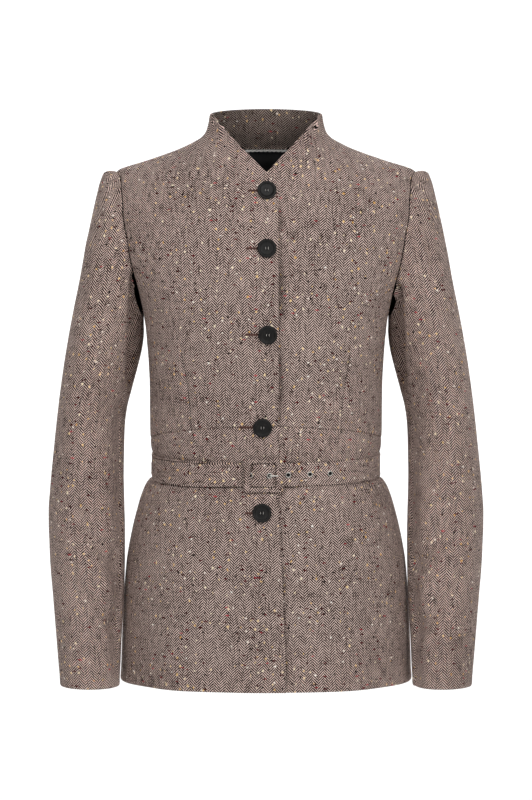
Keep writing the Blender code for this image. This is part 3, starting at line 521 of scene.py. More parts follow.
class Finishes:
    """All materials of the jacket, each made once."""

    def __init__(self) -> None:
        """Make the materials."""
        self.tweed = HerringboneTweed().material()
        # darker copy of the tweed for the facing inside the collar: painted shade
        self.painted_shade_copy = HerringboneTweed(
            "herringbone_wool_tweed_wrong_side",
            shades=((0.32, "#070302"), (0.52, "#1c110e"), (0.7, "#6a5850"), (0.88, "#b6a49a")),
        ).material()
        self.lining = SatinLining().material()
        self.trim = TwistedYarn("pale_rayon_gimp", "#b4b0aa", "#fcfbf8", 1.1, 0.5, 0.3).material()
        self.hole_silk = TwistedYarn("brown_buttonhole_silk", "#33201c", "#7d554a", 0.8).material()
        # near-black finish of the thin tubes in the buttonhole slits, the darts' folds and the buttons' holes:
        # painted shade
        self.painted_shade_lines = TwistedYarn("buttonhole_slit_yarn", "#0d0807", "#241613", 0.9).material()
        self.thread = TwistedYarn("pale_sewing_thread", "#b9b2a8", "#f4f0ea", 0.5).material()
        self.horn = CastHorn().material()
        self.nickel = PlatedNickel().material()


# Meshes

def new_piece(
    name: str, points: Array, faces: Sequence, weave: Array, finishes: Sequence, picks: Any = 0
) -> bpy.types.Object:
    """Make a smooth mesh object.

    Args:
        name: name of the piece.
        points: points in millimetres.
        faces: point numbers of each face.
        weave: place of each point on the flat material, in millimetres.
        finishes: materials of the piece.
        picks: number of each face's material.

    Returns:
        The object, linked to the scene.
    """
    mesh = bpy.data.meshes.new(name)
    mesh.from_pydata((np.asarray(points) * MM).tolist(), [], [[int(i) for i in face] for face in faces])
    corner = np.empty(len(mesh.loops), np.int32)
    mesh.loops.foreach_get("vertex_index", corner)
    mesh.uv_layers.new(name=WEAVE_MAP).data.foreach_set("uv", weave[corner].astype(np.float32).ravel())
    for finish in finishes:
        mesh.materials.append(finish)
    chosen = np.broadcast_to(np.asarray(picks, np.int32), len(mesh.polygons))
    mesh.polygons.foreach_set("material_index", np.ascontiguousarray(chosen))
    mesh.shade_smooth()
    piece = bpy.data.objects.new(name, mesh)
    bpy.context.scene.collection.objects.link(piece)
    return piece


def seat(piece: bpy.types.Object, slot: str, *nodes: str) -> None:
    """Fix a piece to the jacket and report it.

    Args:
        piece: the new piece.
        slot: the record's material slot that it takes; not used.
        nodes: nodes that it stands for.
    """
    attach(piece, "root")
    if nodes:
        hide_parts(*nodes)
    LOG.info("%s: %d faces", piece.name, len(piece.data.polygons))


@dataclass
class Parts:
    """Several closed forms gathered into one mesh."""

    points: list[Array] = field(default_factory=list)
    faces: list[list[int]] = field(default_factory=list)
    weave: list[Array] = field(default_factory=list)
    picks: list[int] = field(default_factory=list)
    count: int = 0

    def add(self, points: Array, faces: Sequence, weave: Array, pick: int = 0) -> None:
        """Add one form.

        Args:
            points: its points in millimetres.
            faces: its faces.
            weave: places on the flat material.
            pick: number of its material.
        """
        self.points.append(points)
        self.weave.append(weave)
        self.faces += [[int(i) + self.count for i in face] for face in faces]
        self.picks += [pick] * len(faces)
        self.count += len(points)

    def add_tube(self, line: Array, radius: Any, sides: int = 8, pick: int = 0) -> None:
        """Add a round rod with closed ends.

        Args:
            line: points along its middle.
            radius: its radius, one value or one for each point.
            sides: faces round it.
            pick: number of its material.
        """
        line = np.asarray(line, float)
        tangent = unit(np.gradient(line, axis=0))
        side = np.eye(3)[int(np.argmin(np.abs(tangent[0])))]
        sides_at = []
        for along in tangent:
            side = unit(side - along * (side @ along))
            sides_at.append(side)
        first = np.array(sides_at)
        second = np.cross(tangent, first)
        turn = np.linspace(0.0, 2 * np.pi, sides, endpoint=False)
        reach = np.broadcast_to(np.asarray(radius, float), len(line))[:, None, None]
        ring = first[:, None] * np.cos(turn)[None, :, None] + second[:, None] * np.sin(turn)[None, :, None]
        points = (line[:, None] + ring * reach).reshape(-1, 3)
        number = np.arange(len(points)).reshape(len(line), sides)
        after = np.roll(number, -1, axis=1)
        faces = np.stack([number[:-1], after[:-1], after[1:], number[1:]], axis=-1).reshape(-1, 4).tolist()
        faces += [number[0, ::-1].tolist(), number[-1].tolist()]
        run = np.broadcast_to(run_along(line, 0)[:, None], number.shape)
        around = np.broadcast_to(turn * float(np.mean(radius)), number.shape)
        self.add(points, faces, np.stack([around, run], axis=-1).reshape(-1, 2), pick)

    def moved(self, frame_of: Matrix, start: int = 0) -> None:
        """Move the forms added from a number on.

        Args:
            frame_of: where they go, in millimetres.
            start: number of the first form.
        """
        turn, shift = np.array(frame_of.to_3x3()), np.array(frame_of.translation)
        self.points[start:] = [points @ turn.T + shift for points in self.points[start:]]

    def piece(self, name: str, finishes: Sequence) -> bpy.types.Object:
        """Make the object of all forms added so far."""
        weave = np.concatenate(self.weave)
        return new_piece(name, np.concatenate(self.points), self.faces, weave, finishes, self.picks)


def turned(profile: Sequence[tuple[float, float]], sides: int) -> tuple[Array, list[list[int]]]:
    """Turn a profile round Z.

    Args:
        profile: radius and height, from the top down the outer side; it closes on itself unless it starts
            and ends on the axis.
        sides: faces round it.

    Returns:
        Points and faces.
    """
    turn = np.linspace(0.0, 2 * np.pi, sides, endpoint=False)
    on_axis = profile[0][0] == 0
    rings = np.array(profile[1:-1] if on_axis else profile, float)
    points = np.stack([
        rings[:, :1] * np.cos(turn), rings[:, :1] * np.sin(turn), np.repeat(rings[:, 1:], sides, axis=1)
    ], axis=-1).reshape(-1, 3)
    number = np.arange(len(points)).reshape(len(rings), sides)
    after = np.roll(number, -1, axis=1)
    upper, lower = (number[:-1], number[1:]) if on_axis else (number, np.roll(number, -1, axis=0))
    upper_after, lower_after = (after[:-1], after[1:]) if on_axis else (after, np.roll(after, -1, axis=0))
    faces = np.stack([upper, lower, lower_after, upper_after], axis=-1).reshape(-1, 4).tolist()
    if on_axis:
        top, bottom = len(points), len(points) + 1
        points = np.concatenate([points, [[0.0, 0.0, profile[0][1]], [0.0, 0.0, profile[-1][1]]]])
        faces += [[top, int(a), int(b)] for a, b in zip(number[0], after[0])]
        faces += [[bottom, int(b), int(a)] for a, b in zip(number[-1], after[-1])]
    return points, faces


def smooth_profile(corners: Sequence[tuple[float, float]], steps: int) -> list[tuple[float, float]]:
    """Round a profile's corners with a curve through them.

    Args:
        corners: radius and height of each corner.
        steps: points from corner to corner.

    Returns:
        The finer profile, with its first and last spans left straight.
    """
    fine = [tuple(corners[0])]
    for k in range(1, len(corners) - 2):
        before, here, there, beyond = (np.array(corners[j], float) for j in range(k - 1, k + 3))
        for t in np.arange(steps) / steps:
            bend = 2 * here + (there - before) * t
            bend = bend + (2 * before - 5 * here + 4 * there - beyond) * t**2
            fine.append(tuple((bend + (3 * here - before - 3 * there + beyond) * t**3) / 2))
    return [*fine, tuple(corners[-2]), tuple(corners[-1])]


def cut_away(piece: bpy.types.Object, drills: Parts) -> None:
    """Cut holes through a piece.

    Args:
        piece: the piece, whose mesh is changed.
        drills: the forms to cut away.
    """
    tool = drills.piece(piece.name + "_drill", [])
    change = piece.modifiers.new("holes", "BOOLEAN")
    change.operation, change.solver, change.object = "DIFFERENCE", "EXACT", tool
    bpy.context.view_layer.update()
    graph = bpy.context.evaluated_depsgraph_get()
    source = piece.evaluated_get(graph)
    mesh = bpy.data.meshes.new_from_object(source, preserve_all_data_layers=True, depsgraph=graph)
    piece.modifiers.clear()
    piece.data = mesh
    mesh.set_sharp_from_angle(angle=math.radians(50))
    bpy.data.objects.remove(tool, do_unlink=True)


# Cloth

class Edge(Enum):
    """How an edge of a cut piece is finished."""

    SEAM = "sewn to its neighbour"
    EASED = "sewn in with some fullness"
    FREE = "turned in and pressed"


@dataclass(frozen=True)
class Edges:
    """Finish of a piece's four edges, and how wide the tweed shows on its inside along them."""

    first: Edge = Edge.SEAM
    last: Edge = Edge.SEAM
    top: Edge = Edge.SEAM
    bottom: Edge = Edge.SEAM
    first_facing: float = 0.0
    top_facing: float = 0.0
    bottom_facing: float = 0.0


@dataclass(frozen=True)
class Fold:
    """A soft trough, or a ridge where its height is above 0, between two places seen from the front or back."""

    x1: float
    z1: float
    x2: float
    z2: float
    spread: float
    height: float


def fold_relief(folds: Sequence[Fold], x: Array, z: Array, fading: float = 0.7) -> Array:
    """How far folds move the cloth out.

    Args:
        folds: the folds.
        x: places across.
        z: places in height.
        fading: how much of a fold's height is lost at its ends.

    Returns:
        The distance out at each place.
    """
    total = np.zeros_like(x)
    for fold in folds:
        across, down = fold.x2 - fold.x1, fold.z2 - fold.z1
        share = ((x - fold.x1) * across + (z - fold.z1) * down) / (across**2 + down**2)
        t = np.clip(share, 0.0, 1.0)
        away = np.hypot(x - fold.x1 - across * t, z - fold.z1 - down * t)
        strength = 1 - fading + fading * np.sin(np.pi * t)
        total = total + fold.height * strength * bell(away, fold.spread)
    return total


def varied(
    folds: Sequence[Fold], seed: int, stray: float = 5.0, change: tuple[float, float] = (0.8, 1.25)
) -> list[Fold]:
    """Copies of folds that differ a little in place, length, width and height.

    Args:
        folds: the folds to start from.
        seed: number that picks the variation.
        stray: how far the ends move, as a rule.
        change: least and most by which width and height are multiplied.

    Returns:
        The new folds.
    """
    chance = np.random.default_rng(seed)
    made = []
    for fold in folds:
        dx1, dz1, dx2, dz2 = chance.normal(0.0, stray, 4)
        widen, lift = chance.uniform(*change, 2)
        made.append(Fold(
            fold.x1 + dx1, fold.z1 + dz1, fold.x2 + dx2, fold.z2 + dz2, fold.spread * widen, fold.height * lift
        ))
    return made


@dataclass
class ClothGrid:
    """Rows of points of a cut piece: the plain form, the way out of it, and how far out the cloth lies."""

    base: Array
    normal: Array
    out: Array

    @property
    def points(self) -> Array:
        """Points on the cloth's outer face."""
        return self.base + self.normal * self.out[..., None]


def evened(flat: Array, points: Array, rounds: int) -> Array:
    """Even out the lengths in a flat layout towards those of the worn cloth, and rather shrink than stretch.

    Args:
        flat: grid of places on the layout.
        points: the same grid on the worn cloth.
        rounds: how often the lengths are evened out.

    Returns:
        The moved places.
    """
    index = np.arange(flat.shape[0] * flat.shape[1]).reshape(flat.shape[:2])
    ends = ((index[:, :-1], index[:, 1:]), (index[:-1], index[1:]),
            (index[:-1, :-1], index[1:, 1:]), (index[1:, :-1], index[:-1, 1:]))
    a, b = (np.concatenate([pair[k].ravel() for pair in ends]) for k in (0, 1))
    laid, worn = flat.reshape(-1, 2).copy(), points.reshape(-1, 3)
    want = np.linalg.norm(worn[b] - worn[a], axis=-1)
    share = np.bincount(np.concatenate([a, b]))
    push_out, pull_in = 0.8, 0.25
    for _ in range(rounds):
        gap = laid[b] - laid[a]
        length = np.maximum(np.linalg.norm(gap, axis=-1), 1e-6)
        push = gap * (np.where(length < want, push_out, pull_in) * (1 - want / length))[:, None]
        for k in (0, 1):
            move = np.bincount(a, push[:, k], len(laid)) - np.bincount(b, push[:, k], len(laid))
            laid[:, k] += move / share
    return laid.reshape(flat.shape)


def relaxed(flat: Array, points: Array, rounds: int = 1500, last_rounds: int = 400) -> Array:
    """Ease a flat layout until its lengths agree with those of the worn cloth, first on a coarse grid.

    Args:
        flat: grid of places on the first layout.
        points: the same grid on the worn cloth, its rows from the top down.
        rounds: how often the lengths are evened out on the coarse grid.
        last_rounds: how often on the whole grid.

    Returns:
        The eased places, with the lower half turned as it was.
    """
    coarse, crowded = (40, 26), (1.6, 1.0)      # rows and columns, and how they crowd to the start
    places = run_along(points, 0).mean(axis=1), run_along(points, 1).mean(axis=0)
    picks = [
        np.unique(np.searchsorted(at, (at[-1] - 1e-6) * np.linspace(0.0, 1.0, count) ** power))
        for at, count, power in zip(places, coarse, crowded)
    ]
    start = flat[np.ix_(*picks)]
    laid = evened(start, points[np.ix_(*picks)], rounds)
    low, low_start = (grid[len(picks[0]) // 2:].reshape(-1, 2) for grid in (laid, start))
    centre, was = low.mean(axis=0), low_start.mean(axis=0)
    left, _, right = np.linalg.svd((low - centre).T @ (low_start - was))
    shift = (laid - centre) @ (left @ right) + was - start
    for axis, (pick, at) in enumerate(zip(picks, places)):
        i = np.clip(np.searchsorted(pick, np.arange(len(at)), side="right") - 1, 0, len(pick) - 2)
        t = (at - at[pick[i]]) / (at[pick[i + 1]] - at[pick[i]])
        t = t[:, None, None] if axis == 0 else t[None, :, None]
        shift = np.take(shift, i, axis) * (1 - t) + np.take(shift, i + 1, axis) * t
    return evened(flat + shift, points, last_rounds)


def flat_places(points: Array, start: Any, middle: int, foot: Any) -> Array:
    """Places of a grid on its flat cut, with the warp up its columns.

    Args:
        points: grid of points, its rows from the top down.
        start: place across of the column that the cut is laid out from.
        middle: number of that column.
        foot: place in height of the lowest row.

    Returns:
        Places across and in height.
    """
    across, down = run_along(points, 1), run_along(points, 0)
    u = across - across[:, middle:middle + 1] + np.broadcast_to(start, len(points))[:, None]
    return relaxed(np.stack([u, down[-1:] - down + foot], axis=-1), points)


@dataclass
class Tailor:
    """Makes up cut pieces as closed thin shells with pressed edges and sunken seams."""

    finishes: Finishes
    thick: float = 2.2
    seam_depth: float = 0.5
    seam_spread: float = 1.6
    crevice: float = 1.1        # depth of the narrow crevice in a seam
    crevice_spread: float = 0.55
    swell: float = 0.35         # the turned-in edge stands up this much
    swell_width: float = 8.0
    swell_rise: float = 2.5
    swell_lead: float = 3.0     # it starts to fall this far before its width
    swell_fall: float = 5.0
    edge_roll: float = 0.85     # how much of a half round a pressed edge is
    cut_apart: tuple[float, float] = (377.0, 613.0)     # from cut to cut on the endless weave
    cuts: int = 0

    def edge_relief(self, points: Array, edges: Edges) -> tuple[Array, Array, Array]:
        """Shape of the cloth along its edges.

        Args:
            points: grid of points.
            edges: finish of the edges.

        Returns:
            How far the faces close in on each other at pressed edges, the soft relief, and which of the
            inside shows tweed.
        """
        across, down = run_along(points, 1), run_along(points, 0)
        near = (across, across[:, -1:] - across, down, down[-1:] - down)
        finish = (edges.first, edges.last, edges.top, edges.bottom)
        facing = (edges.first_facing, 0.0, edges.top_facing, edges.bottom_facing)
        half = self.thick / 2
        roll, soft, tweed = np.zeros_like(across), np.zeros_like(across), np.zeros(across.shape, bool)
        for distance, kind, width in zip(near, finish, facing):
            tweed |= distance < width
            if kind is not Edge.FREE:
                soft -= self.seam_depth * bell(distance, self.seam_spread)
                if kind is Edge.SEAM:
                    soft -= self.crevice * bell(distance, self.crevice_spread)
                continue
            inward = half - np.minimum(distance, half)
            roll = np.maximum(roll, half - np.sqrt(np.maximum(half**2 - inward**2, 0.0)))
            fall = ease((distance - self.swell_width + self.swell_lead) / self.swell_fall)
            soft += self.swell * ease(distance / self.swell_rise) * (1 - fall)
        return self.edge_roll * roll, soft, tweed

    def make_up(
        self, name: str, grid: ClothGrid, edges: Edges, flat: Array, turned_over: bool, slot: str = "tweed"
    ) -> bpy.types.Object:
        """Make a piece of cloth, in place of the node of the same name.

        Args:
            name: name of the node.
            grid: where the cloth lies.
            edges: finish of its edges.
            flat: places on its flat cut.
            turned_over: whether the grid runs the other way round, as on the mirrored side.
            slot: the record's material slot.

        Returns:
            The piece.
        """
        roll, soft, tweed = self.edge_relief(grid.points, edges)
        lie = grid.out + soft
        outer = grid.base + grid.normal * (lie - roll)[..., None]
        inner = grid.base + grid.normal * (lie - self.thick + roll)[..., None]
        rows, columns = outer.shape[:2]
        count = rows * columns
        index = np.arange(count).reshape(rows, columns)
        face = np.stack([index[:-1, :-1], index[1:, :-1], index[1:, 1:], index[:-1, 1:]], axis=-1)
        face = face.reshape(-1, 4)
        border = np.concatenate([index[:-1, 0], index[-1, :-1], index[:0:-1, -1], index[0, :0:-1]])
        after = np.roll(border, -1)
        rim = np.stack([after, border, border + count, after + count], axis=-1)
        faces = np.concatenate([face, face[:, [0, 3, 2, 1]] + count, rim])
        if turned_over:
            faces = faces[:, [0, 3, 2, 1]]
        lined = ~(tweed[:-1, :-1] & tweed[1:, 1:]).reshape(-1)
        if slot == "tweed":
            finishes = [self.finishes.tweed, self.finishes.lining]
            picks = np.concatenate([np.zeros(len(face)), lined, np.zeros(len(rim))])
        else:
            finishes, picks = [self.finishes.lining], 0
        self.cuts += 1
        weave = (flat + np.array(self.cut_apart) * self.cuts).reshape(-1, 2)
        points = np.concatenate([outer.reshape(-1, 3), inner.reshape(-1, 3)])
        piece = new_piece(f"cloth_{name}", points, faces, np.concatenate([weave, weave]), finishes, picks)
        seat(piece, slot, name)
        return piece


# Worn form

@dataclass(frozen=True)
class Section:
    """Section of the worn body: half width, depth to front and back, and squareness across and in depth."""

    level: float
    half_width: float
    front: float
    back: float
    square: float
    ridge: float


@dataclass(frozen=True)
class Flute:
    """Soft flute of the skirt: turn round the body, half width in degrees, and reach at the hem."""

    turn: float
    spread: float
    depth: float


@dataclass(frozen=True)
class WornForm:
    """The space that the jacket keeps when it is filled out as worn."""

    belt_level: float = -392.0
    hem: float = -652.0
    flute_fall: float = 1.4
    blouse_out: float = 1.6     # the cloth bags out this much over the belt
    blouse_rise: float = 19.0   # above the belt's middle
    blouse_spread: float = 5.0
    sections: tuple[Section, ...] = (
        Section(32.0, 67.0, 50.0, 60.0, 2.0, 2.0),
        Section(20.0, 69.5, 55.0, 62.0, 2.0, 2.0),
        Section(11.0, 72.0, 59.0, 65.0, 2.0, 2.0),
        Section(3.5, 77.5, 62.0, 68.0, 2.0, 2.0),
        Section(-4.0, 90.0, 65.0, 73.0, 2.0, 1.9),
        Section(-10.5, 104.0, 67.5, 77.0, 2.0, 1.7),
        Section(-24.0, 142.0, 72.5, 85.0, 2.05, 1.4),
        Section(-37.5, 180.0, 78.5, 92.0, 2.1, 1.25),
        Section(-60.0, 186.0, 89.0, 99.0, 2.2, 1.75),
        Section(-85.0, 186.5, 99.0, 104.0, 2.3, 2.1),
        Section(-112.0, 181.0, 107.0, 107.0, 2.35, 2.3),
        Section(-140.0, 173.0, 113.0, 108.0, 2.4, 2.4),
        Section(-187.0, 154.5, 118.5, 107.0, 2.45, 2.45),
        Section(-212.5, 146.8, 119.5, 105.5, 2.5, 2.5),
        Section(-242.0, 143.4, 118.5, 103.0, 2.5, 2.5),
        Section(-300.0, 139.9, 112.5, 97.0, 2.45, 2.45),
        Section(-345.0, 139.6, 107.5, 93.5, 2.4, 2.4),
        Section(-365.0, 138.6, 104.5, 91.0, 2.35, 2.35),
        Section(-377.0, 135.4, 101.0, 87.5, 2.3, 2.3),
        Section(-406.5, 135.4, 101.0, 87.5, 2.3, 2.3),
        Section(-412.0, 142.0, 105.0, 92.5, 2.3, 2.3),
        Section(-427.0, 149.4, 109.5, 99.0, 2.3, 2.3),
        Section(-447.0, 155.5, 113.5, 104.5, 2.3, 2.3),
        Section(-479.0, 163.0, 119.0, 112.0, 2.3, 2.3),
        Section(-510.0, 168.2, 123.0, 118.0, 2.3, 2.3),
        Section(-560.0, 172.0, 127.0, 124.5, 2.3, 2.3),
        Section(-652.0, 175.5, 131.0, 130.0, 2.3, 2.3),
    )
    flutes: tuple[Flute, ...] = (
        Flute(38.0, 13.0, -3.0),
        Flute(57.0, 12.0, 2.5),
        Flute(124.0, 11.0, 3.0),
        Flute(146.0, 12.0, -3.5),
        Flute(222.0, 14.0, 4.0),
        Flute(248.0, 12.0, -4.0),
        Flute(276.0, 14.0, 4.5),
        Flute(305.0, 13.0, -3.5),
    )

    def size(self, name: str, level: Any) -> Array:
        """One size of the section at a level."""
        rising = self.sections[::-1]
        return monotone([s.level for s in rising], [getattr(s, name) for s in rising], level)

    def plain(self, angle: Any, level: Any) -> Array:
        """Points of the plain form.

        Args:
            angle: turn round the body, 0 at the wearer's left and a quarter turn in front.
            level: height.

        Returns:
            The points.
        """
        angle, level = np.broadcast_arrays(np.asarray(angle, float), np.asarray(level, float))
        across, along = np.cos(angle), np.sin(angle)
        depth = np.where(along > 0, -self.size("front", level), self.size("back", level))
        x = np.sign(across) * np.abs(across) ** (2.0 / self.size("square", level))
        y = np.abs(along) ** (2.0 / self.size("ridge", level))
        return np.stack([self.size("half_width", level) * x, depth * y, level], axis=-1)

    def normal(self, angle: Any, level: Any) -> Array:
        """Directions out of the form; on the side ridge they lean to neither front nor back.

        Args:
            angle: turn round the body.
            level: height.

        Returns:
            Vectors of length 1.
        """
        small_angle, small_rise, ridge = 1e-3, 0.05, 2.0
        turn = self.plain(angle + small_angle, level) - self.plain(angle - small_angle, level)
        rise = self.plain(angle, level + small_rise) - self.plain(angle, level - small_rise)
        found = unit(np.cross(rise, turn))
        found[..., 1] *= ease(np.abs(self.plain(angle, level)[..., 1]) / ridge)
        return unit(found)

    def flute(self, angle: Array, level: Array) -> Array:
        """How far the skirt's flutes move the cloth out.

        Args:
            angle: turn round the body.
            level: height.

        Returns:
            The distance at each place.
        """
        turn = np.degrees(angle) % 360.0
        fall = np.clip((self.belt_level - level) / (self.belt_level - self.hem), 0.0, 1.0) ** self.flute_fall
        reach = sum(f.depth * bell((turn - f.turn + 180) % 360 - 180, f.spread) for f in self.flutes)
        return reach * fall

    def blouse(self, level: Array) -> Array:
        """How far the cloth bags out over the belt's upper edge."""
        return self.blouse_out * bell(level - self.belt_level - self.blouse_rise, self.blouse_spread)

    def angle_at_x(self, x: Any, level: Any) -> Array:
        """Angle of the front point that lies x to the wearer's left."""
        share = np.clip(x / self.size("half_width", level), -1, 1)
        return np.arccos(np.sign(share) * np.abs(share) ** (self.size("square", level) / 2))

    def angle_at_y(self, y: Any, level: Any) -> Array:
        """Angle of the point on the wearer's left at a distance from the side.

        Args:
            y: distance in front of the side, below 0 behind it.
            level: height.

        Returns:
            The angle.
        """
        y = np.asarray(y, float)
        reach = np.where(y > 0, self.size("front", level), self.size("back", level))
        share = np.clip(np.abs(y) / reach, 0, 1)
        return np.copysign(np.arcsin(share ** (self.size("ridge", level) / 2)), y)

    def from_centre(self, angle: Array, level: Array) -> Array:
        """Length along the form from the middle of the front, below 0 on the wearer's right.

        Args:
            angle: turns round the body.
            level: heights.

        Returns:
            The length at each place.
        """
        t = np.linspace(0.0, 1.0, 80)
        turns = np.pi / 2 + (np.asarray(angle)[..., None] - np.pi / 2) * t
        points = self.plain(turns, np.asarray(level)[..., None])
        run = np.sum(np.linalg.norm(np.diff(points, axis=-2), axis=-1), axis=-1)
        return np.where(np.asarray(angle) < np.pi / 2, run, -run)

    def on_front(self, x: Any, level: Any, out: Any) -> Array:
        """Point on the front, out from the plain form by a distance."""
        angle = self.angle_at_x(x, level)
        return self.plain(angle, level) + self.normal(angle, level) * np.asarray(out, float)[..., None]


@dataclass(frozen=True)
class Armhole:
    """The armhole seam, a closed line round the end of the shoulder."""

    top: float = -37.5
    bottom: float = -212.5
    front: float = 50.0
    back: float = 58.0
    fullness: float = 1.35      # above 1 its upper half is narrower than an ellipse

    def level(self, turn: Any) -> Array:
        """Height at a turn in degrees, 0 at the shoulder."""
        return (self.top + self.bottom) / 2 + (self.top - self.bottom) / 2 * np.cos(np.radians(turn))

    def depth(self, turn: Any) -> Array:
        """Distance in front of the side seam.

        Args:
            turn: degrees round the armhole, 0 at the shoulder.

        Returns:
            The distance, below 0 behind the seam.
        """
        sine = np.sin(np.radians(turn))
        power = np.where(np.cos(np.radians(turn)) > 0, self.fullness, 1.0)
        return np.sign(sine) * np.abs(sine) ** power * np.where(sine > 0, self.front, self.back)


@dataclass(frozen=True)
class Closure:
    """How the fronts lap over each other and button."""

    overlap: float = 15.0
    underlap: float = 17.0
    drift: float = 9.0          # how much further the front edges reach at the hem
    layer: float = 2.6          # the upper front lies this far out
    lift_near: float = 22.0
    lift_far: float = 50.0
    gape: float = 3.2
    gape_from: float = 5.0
    gape_width: float = 20.0
    gaping: int = 4             # the free edge gapes between these buttons, counted from the top
    buttons: tuple[tuple[float, float], ...] = (    # level, and distance to the wearer's left
        (-52.6, 1.2), (-118.9, 1.2), (-220.9, 2.2), (-333.5, -4.2), (-437.5, -4.8),
    )

    def lift(self, x: Any) -> Array:
        """How far the upper front lies out over the lower one."""
        return self.layer * ease((self.lift_far - x) / (self.lift_far - self.lift_near))

    def upper_out(self, x: Any, level: Any) -> Array:
        """How far out the upper front lies, with its free edge gaping between buttons.

        Args:
            x: distance from the centre line towards the wearer's right.
            level: height.

        Returns:
            The distance at each place.
        """
        levels = [button[0] for button in self.buttons[:self.gaping]]
        amount = np.zeros_like(np.asarray(level, float))
        for upper, lower in zip(levels, levels[1:]):
            t = np.clip((upper - level) / (upper - lower), 0.0, 1.0)
            amount = amount + self.gape * np.sin(np.pi * t) ** 2
        return self.lift(x) + amount * ease((self.gape_from - x) / self.gape_width)


def even_row(form: WornForm, angles: Array, levels: Array, count: int) -> tuple[Array, Array]:
    """Spread places along a row by length, closer together at its ends.

    Args:
        form: the worn form.
        angles: fine run of angles along the row.
        levels: fine run of levels.
        count: even steps between the close ones.

    Returns:
        Angles and levels of the places.
    """
    run = run_along(form.plain(angles, levels), 0)
    at = spacing(float(run[-1]), count)
    return np.interp(at, run, angles), np.interp(at, run, levels)


@dataclass
class BodyCloth:
    """Cuts shared by bodice and skirt: rows of places on the worn form, made up by the tailor."""

    form: WornForm
    armhole: Armhole
    closure: Closure
    tailor: Tailor
    waist_front: float = -333.0     # levels of the waist seam
    waist_side: float = -360.0
    waist_back: float = -352.0
    row_bend: float = 1.6       # a front row stays level near the centre and falls towards the side

    def front_row(self, x: float, inner: float, depth: float, outer: float, count: int) -> tuple[Array, Array]:
        """A row of a front on the wearer's left.

        Args:
            x: its inner end's distance from the centre line.
            inner: level of its inner end.
            depth: its outer end's distance in front of the side seam.
            outer: level of its outer end.
            count: columns.

        Returns:
            Angles and levels.
        """
        t = np.linspace(0.0, 1.0, 240)
        start = float(self.form.angle_at_x(x, inner))
        end = float(self.form.angle_at_y(depth, outer))
        return even_row(self.form, start + (end - start) * t, inner + (outer - inner) * t**self.row_bend, count)

    def back_row(self, level: float, depth: float, middle: float, count: int) -> tuple[Array, Array]:
        """A row across the back, from the wearer's left to the right.

        Args:
            level: level of its ends.
            depth: distance of its ends behind the side seam.
            middle: level of its middle.
            count: columns.

        Returns:
            Angles and levels.
        """
        end = float(self.form.angle_at_y(-depth, level))
        t = np.linspace(0.0, 1.0, 400)
        angles = end + (-math.pi - 2 * end) * t
        return even_row(self.form, angles, level + (middle - level) * (1 - (2 * t - 1) ** 2), count)

    def front(
        self, name: str, rows: Sequence, edges: Edges, upper: bool, folds: Sequence[Fold]
    ) -> bpy.types.Object:
        """Make up a front piece.

        Args:
            name: name of its node.
            rows: its rows, laid out on the wearer's left.
            edges: finish of its edges.
            upper: whether it is the upper front, which closes on top from the wearer's right.
            folds: its folds.

        Returns:
            The piece.
        """
        angles, levels = (np.array(part) for part in zip(*rows))
        x = self.form.plain(angles, levels)[..., 0]
        start = self.form.from_centre(angles[:, 0], levels[:, 0])
        out = fold_relief(folds, x, levels)
        if upper:
            out = out + self.closure.upper_out(x, levels)
            angles = math.pi - angles
        out = out + self.form.flute(angles, levels) + self.form.blouse(levels)
        grid = ClothGrid(self.form.plain(angles, levels), self.form.normal(angles, levels), out)
        flat = flat_places(grid.points, start, 0, levels[-1:])
        return self.tailor.make_up(name, grid, edges, flat, upper)

    def back(
        self, name: str, rows: Sequence, edges: Edges, folds: Sequence[Fold], lie: float = 0.0,
        thick: float | None = None, slot: str = "tweed",
    ) -> bpy.types.Object:
        """Make up a piece of the back.

        Args:
            name: name of its node.
            rows: its rows, from the wearer's left to the right.
            edges: finish of its edges.
            folds: its folds.
            lie: how far out it lies, below 0 inside.
            thick: its own thickness, if not the tailor's.
            slot: the record's material slot.

        Returns:
            The piece.
        """
        angles, levels = (np.array(part) for part in zip(*rows))
        base = self.form.plain(angles, levels)
        out = lie + self.form.flute(angles, levels) + fold_relief(folds, base[..., 0], levels)
        out = out + self.form.blouse(levels)
        grid = ClothGrid(base, self.form.normal(angles, levels), out)
        flat = flat_places(grid.points, 0.0, angles.shape[1] // 2, levels[-1:])
        tailor = self.tailor if thick is None else replace(self.tailor, thick=thick, swell=0.0)
        piece = tailor.make_up(name, grid, edges, flat, False, slot)
        self.tailor.cuts = tailor.cuts
        return piece


# Bodice

